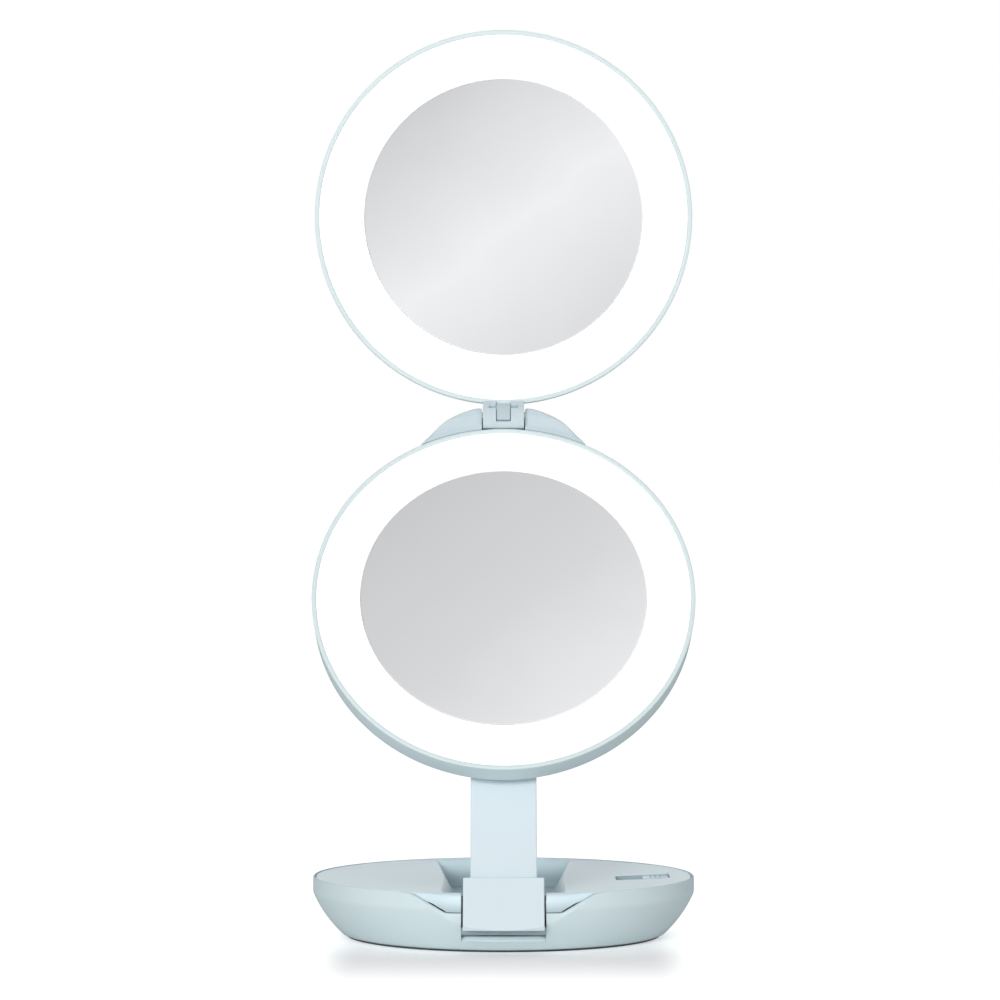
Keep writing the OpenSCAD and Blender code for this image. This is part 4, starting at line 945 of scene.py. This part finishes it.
class MIRROR_OT_upper_mirror(bpy.types.Operator):
    """Case, lip, light ring and hollow glass of the upper mirror"""
    bl_idname = "mirror.upper_mirror"
    bl_label = "Upper mirror"

    def execute(self, context):
        round_pieces(context, UPPER, "upper", UPPER_FORM, UPPER_LIP, 0.9, upper_case_profile(), SAG)
        return {"FINISHED"}


# Mirror hinge, in millimetres from the fold's axis: barrel, the web below it, the step up to the lip, and the
# tongue
BARREL_R, BARREL_W, ARM_IN, GROOVE_W, TONGUE_W, TONGUE_T = 4.68, 14.0, 4.9, 5.0, 4.4, 0.85
WEB_IN, WEB_LOW, STEP_LOW, STEP_W, CORE_R = 1.0, -4.4, -0.45, 1.1, 2.6
# Bracket: its dome's radius, how far the dome's middle lies out, where it is cut flat, its face and its
# underside
DOME_R, DOME_OUT, DOME_FLAT, DOME_FACE, DOME_LOW = 34.0, 37.95, 70.75, 2.4, -7.5
# The face starts level with the lip and rises between two radii, then rolls over into the wall
FACE_LOW, FACE_FROM, FACE_TO, ROLL, BEVEL = 0.2, 65.2, 68.6, 1.3, 1.6
# Middle of the bracket's outer edge, which is set back for the barrel
BACKSET_HALF, BACKSET_SOFT, BACKSET = 8.45, 1.1, 0.8


def polar_radius(corners, turn):
    """Distance from the origin to the outline through corners, in the directions of turn. Between two corners
    a and b it is the product of their distances and the sine of the turn between them, shared out by the
    sines to each."""
    c = np.array(corners, float)
    angle, far = np.unwrap(np.arctan2(c[:, 1], c[:, 0])), np.hypot(c[:, 0], c[:, 1])
    angle, far = np.append(angle, angle[0] + 2 * math.pi), np.append(far, far[0])
    t = angle[0] + (turn - angle[0]) % (2 * math.pi)
    i = np.clip(np.searchsorted(angle, t, side="right") - 1, 0, len(c) - 1)
    a, b, ta, tb = far[i], far[i + 1], angle[i], angle[i + 1]
    return a * b * np.sin(tb - ta) / (a * np.sin(t - ta) + b * np.sin(tb - t))


def barrel_grid():
    """Barrel of the mirror hinge: outlines round its axis at steps across x. At the ends it has arms up to
    the lip, in the middle a groove for the tongue, and between them it is cut back from the lip."""
    def circle(a0, a1, radius=BARREL_R, steps=40):
        return arc_points((0, 0), radius, a0, a1, steps).tolist()
    lip = UPPER_HINGE_OUT - UPPER_FORM + 0.02
    web = [(WEB_IN, WEB_LOW + 0.01), (lip, WEB_LOW)]
    step = [(lip, STEP_LOW), (lip + STEP_W, STEP_LOW + 0.03), (lip + STEP_W, STEP_LOW + 0.3)]
    arm = circle(59, 257) + web + step
    between = circle(62, 257) + web + step + [(3.25, 2.52), (1.36, 1.18), (0.9, 1.56)]
    groove = circle(121, 257) + web + [(lip, STEP_LOW - 0.15)]
    groove += circle(0, 111, BARREL_R - TONGUE_T - 0.1) + circle(113, 120, CORE_R, 3)
    turn = np.unique(np.round(np.concatenate([np.radians(np.arange(0, 360, 3.0))] + [
        np.arctan2(*np.array(shape, float).T[::-1]) % (2 * math.pi) for shape in (arm, between, groove)]), 5))
    turn = np.append(turn, turn[0] + 2 * math.pi)
    half, rings = BARREL_W / 2, []
    for x, shape, scale in ((-half, arm, 0), (-half, arm, 0.96), (-half + 0.2, arm, 1), (-ARM_IN, arm, 1),
                            (-ARM_IN, between, 1), (-GROOVE_W / 2, between, 1), (-GROOVE_W / 2, groove, 1)):
        radius = polar_radius(shape, turn) * scale
        rings.append(np.stack([np.full_like(turn, x), radius * np.cos(turn), radius * np.sin(turn)], 1))
    rings += [ring * (-1, 1, 1) for ring in rings[::-1]]
    return np.stack(rings) + (0, -UPPER_HINGE_OUT, CLOSED_GAP / 2)


def tongue_grid():
    """Tongue round the barrel: a band of an arc, carried across x. Its ends are closed on the band's middle
    line, half way from each point to its mate on the band's other side."""
    band = np.concatenate([arc_points((0, 0), BARREL_R + 0.06, 113, 34, 24),
                           arc_points((0, 0), BARREL_R - TONGUE_T, 12, 113, 24)])
    bar = bar_along_y(band, -TONGUE_W / 2, TONGUE_W / 2, 0.12)[..., [1, 0, 2]]
    last = len(band) - 1
    ends, mates = bar[[1, -2]], np.append(np.arange(last, -1, -1), last)
    bar[[0, -1]] = (ends + ends[:, mates]) / 2
    return bar + (0, -UPPER_HINGE_OUT, CLOSED_GAP / 2)


def bracket_grid():
    """Bracket behind the barrel: turns round the lower mirror's axis, from its rim to a round dome. Its face
    lies level with the lip, rises from there, and rolls over into a wall."""
    rim = LOWER_FORM + 0.05
    end = math.acos((rim ** 2 + DOME_OUT ** 2 - DOME_R ** 2) / (2 * rim * DOME_OUT)) - 0.004
    near, inmost = 8.6 / 71.5, 0.09
    a = spaced((-end, -near, 40), (-near, -inmost, 14))
    a = np.concatenate([a, -a[::-1]])[:, None]
    far = DOME_OUT * np.cos(a) + half_chord(DOME_R, DOME_OUT * np.sin(a))
    step = np.clip((BACKSET_HALF - np.abs(far * np.sin(a))) / BACKSET_SOFT, 0, 1)
    far = smooth_min(far, DOME_FLAT / np.cos(a), 0.5) - BACKSET * rounding(1, step)
    inner = rim + (far - rim) * np.linspace(0, 1, 30)[None] ** 0.8
    roll, bevel = np.minimum(ROLL, (far - rim) * 0.6), np.minimum(BEVEL, (far - rim) * 0.6)
    z = FACE_LOW + (DOME_FACE - FACE_LOW) * ramp(inner, FACE_FROM, FACE_TO) * np.clip((far - rim) / 5, 0, 1)
    z = z - rounding(roll, roll - (far - inner)) * 0.9
    low = np.full_like(far, DOME_LOW)
    r = np.concatenate([inner, far, far - bevel, rim + 0 * far, rim + 0 * far], 1)
    z = np.concatenate([z, low + bevel, low, low, z[:, :1]], 1)
    return np.stack([r * np.sin(a), r * np.cos(a), z], -1)


class MIRROR_OT_mirror_hinge(bpy.types.Operator):
    """Bracket on the lower mirror, and the barrel and tongue on the upper one"""
    bl_idname = "mirror.mirror_hinge"
    bl_label = "Mirror hinge"

    def execute(self, context):
        # The bracket and the barrel take a darkened plastic, painted shade
        grid = bracket_grid()
        ends = [np.stack([end, np.broadcast_to(end.mean(0), end.shape)]) for end in (grid[0], grid[-1])]
        bracket = formed("HingeBracket", [grid, *ends], LOWER, "lower_mirror", "shell", "hinge",
                         "hinge_bracket")
        half = BARREL_W / 2 + 0.35
        cut(bracket, cutter([box_grid(-half, half, 60, 80, -4.7, 8, 0.1)], LOWER))
        formed("HingeBarrel", [barrel_grid()], UPPER, "upper_mirror", "shell", "hinge", "hinge_barrel")
        # The tongue takes a darkened plastic, painted shade
        formed("HingeTongue", [tongue_grid()], UPPER, "upper_mirror", "lip", "tongue", "hinge_tongue")
        return {"FINISHED"}


class MIRROR_OT_guide(bpy.types.Operator):
    """Channel on the lower mirror's back, and its screws"""
    bl_idname = "mirror.guide"
    bl_label = "Strap guide"

    def execute(self, context):
        dressed("strap_guide", "lower_mirror", "shell")
        dressed("guide_screws", "lower_mirror", "steel", 0.2)
        return {"FINISHED"}


class MIRROR_OT_inner_parts(bpy.types.Operator):
    """Finishes of the CAD parts inside, which keep their own shapes"""
    bl_idname = "mirror.inner_parts"
    bl_label = "Inner parts"

    def execute(self, context):
        looks = {"steel": ["stand_hinge_pin", "battery_contacts", "mirror_hinge_pin"],
                 "foot": ["hinge_washers"], "white_plastic": ["lower_reflector", "upper_reflector"],
                 "board": ["control_board", "lower_led_board", "upper_led_board"],
                 "led": ["lower_leds", "upper_leds"], "cell": ["battery_cells"],
                 "switch_case": ["switch_body"], "foam": ["lower_glass_pad", "upper_glass_pad"]}
        for look, nodes in looks.items():
            for node in nodes:
                data = frame["nodes"][node].data
                data.materials.clear()
                data.materials.append(finish(look))
        return {"FINISHED"}


# Stage

FLOOR_HALF = 60.0
# The floor glows less round the base. For each axis: shift of the dimmer patch's middle, and how far from it
# the
# patch starts to fade and has faded, in metres
SHADOW = (("X", 0.0, 0.046, 0.068), ("Y", 0.065, 0.0, 0.12))
GLOW_FAR, GLOW_NEAR = 0.75, 0.17
# Lamps: name, place, size in metres and power in watts. They face a point at the lower mirror
LAMPS = (("Key", (-0.75, -1.9, 0.62), 0.65, 20), ("Fill", (0.9, -1.9, 0.45), 1.2, 10))
LAMP_AIM = (0, 0, 0.12)
LENS, CAMERA_AT = 139.1, (-0.00118, -1.3, 0.146)


class MIRROR_OT_stage(bpy.types.Operator):
    """Pale floor, white surroundings, soft lights and the camera"""
    bl_idname = "mirror.stage"
    bl_label = "Stage"

    def execute(self, context):
        scene = context.scene
        scene.view_settings.view_transform = "Standard"
        self.floor(scene)
        world = bpy.data.worlds.new("White surroundings")
        scene.world = world
        w = Nodes(world)
        soft = w.add("ShaderNodeBackground", {"Color": (0.97, 0.99, 1.0, 1), "Strength": 0.38}).outputs[0]
        white = w.add("ShaderNodeBackground", {"Color": (1, 1, 1, 1), "Strength": 1.0}).outputs[0]
        mix = w.add("ShaderNodeMixShader", {"Fac": w.seen(), 1: soft, 2: white}).outputs[0]
        w.add("ShaderNodeOutputWorld", {"Surface": mix})
        for row in LAMPS:
            self.lamp(scene, *row)
        lens = bpy.data.cameras.new("Camera")
        lens.sensor_width = 36
        lens.lens = LENS
        lens.clip_start = 0.05
        camera = bpy.data.objects.new("Camera", lens)
        camera.location = CAMERA_AT
        camera.rotation_euler = (math.pi / 2, 0, 0)
        scene.collection.objects.link(camera)
        scene.camera = camera
        return {"FINISHED"}

    def floor(self, scene):
        """Pale floor that shines white to the camera and in reflections, and less round the base, for its
        shadow."""
        mesh, side = bpy.data.meshes.new("Floor"), FLOOR_HALF
        mesh.from_pydata([(-side, -side, 0), (side, -side, 0), (side, side, 0), (-side, side, 0)], [],
                         [(0, 1, 2, 3)])
        floor = bpy.data.objects.new("Floor", mesh)
        scene.collection.objects.link(floor)
        f = Finish("floor_paper")
        across = f.add("ShaderNodeSeparateXYZ", {"Vector": f.coords}).outputs
        near = []
        for axis, shift, close, far in SHADOW:
            away = f.maths("ABSOLUTE", f.maths("ADD", across[axis], shift))
            near.append(f.add("ShaderNodeMapRange", {"Value": away, "From Min": close, "From Max": far,
                                                     "To Min": 1.0, "To Max": 0.0},
                              interpolation_type="SMOOTHSTEP").outputs["Result"])
        fade = f.add("ShaderNodeMapRange", {"Value": f.maths("MULTIPLY", *near), "To Min": GLOW_FAR,
                                            "To Max": GLOW_NEAR}).outputs["Result"]
        paper = f.tint(f.spread(f.noise(40, 3), 0, 1), (0.93, 0.93, 0.935), (0.95, 0.95, 0.955))
        floor.data.materials.append(f.shader({
            "Base Color": paper, "Roughness": 0.9, "Specular IOR Level": 0.0, "Emission Color": (1, 1, 1, 1),
            "Emission Strength": f.maths("MULTIPLY", f.seen(), fade)}))

    def lamp(self, scene, name, place, size, power):
        """Square soft light."""
        light = bpy.data.lights.new(name, "AREA")
        light.shape = "SQUARE"
        light.size = size
        light.energy = power
        obj = bpy.data.objects.new(name, light)
        obj.visible_glossy = False
        obj.location = place
        obj.rotation_euler = (Vector(LAMP_AIM) - Vector(place)).to_track_quat("-Z", "Y").to_euler()
        scene.collection.objects.link(obj)


PIECES = (MIRROR_OT_base_shell, MIRROR_OT_deck, MIRROR_OT_underside, MIRROR_OT_stand,
          MIRROR_OT_lower_mirror, MIRROR_OT_upper_mirror, MIRROR_OT_mirror_hinge, MIRROR_OT_guide,
          MIRROR_OT_inner_parts, MIRROR_OT_stage)


class MIRROR_PT_sidebar(bpy.types.Panel):
    """Sizes, finishes and pieces of the compact mirror"""
    bl_idname = "MIRROR_PT_sidebar"
    bl_label = "Compact mirror"
    bl_space_type = "VIEW_3D"
    bl_region_type = "UI"
    bl_category = "Compact mirror"

    def draw(self, context):
        for group in (context.scene.mirror_shape, context.scene.mirror_finish):
            for key in group.__annotations__:
                self.layout.prop(group, key)
        for cls in PIECES:
            self.layout.operator(cls.bl_idname)


CLASSES = (MirrorShape, MirrorFinish, *PIECES, MIRROR_PT_sidebar)


def register():
    for cls in CLASSES:
        bpy.utils.register_class(cls)
    bpy.types.Scene.mirror_shape = PointerProperty(type=MirrorShape)
    bpy.types.Scene.mirror_finish = PointerProperty(type=MirrorFinish)


def unregister():
    del bpy.types.Scene.mirror_finish
    del bpy.types.Scene.mirror_shape
    for cls in reversed(CLASSES):
        bpy.utils.unregister_class(cls)


def main():
    register()
    for cls in PIECES:
        group, name = cls.bl_idname.split(".")
        getattr(getattr(bpy.ops, group), name)()


if __name__ == "__main__":
    main()
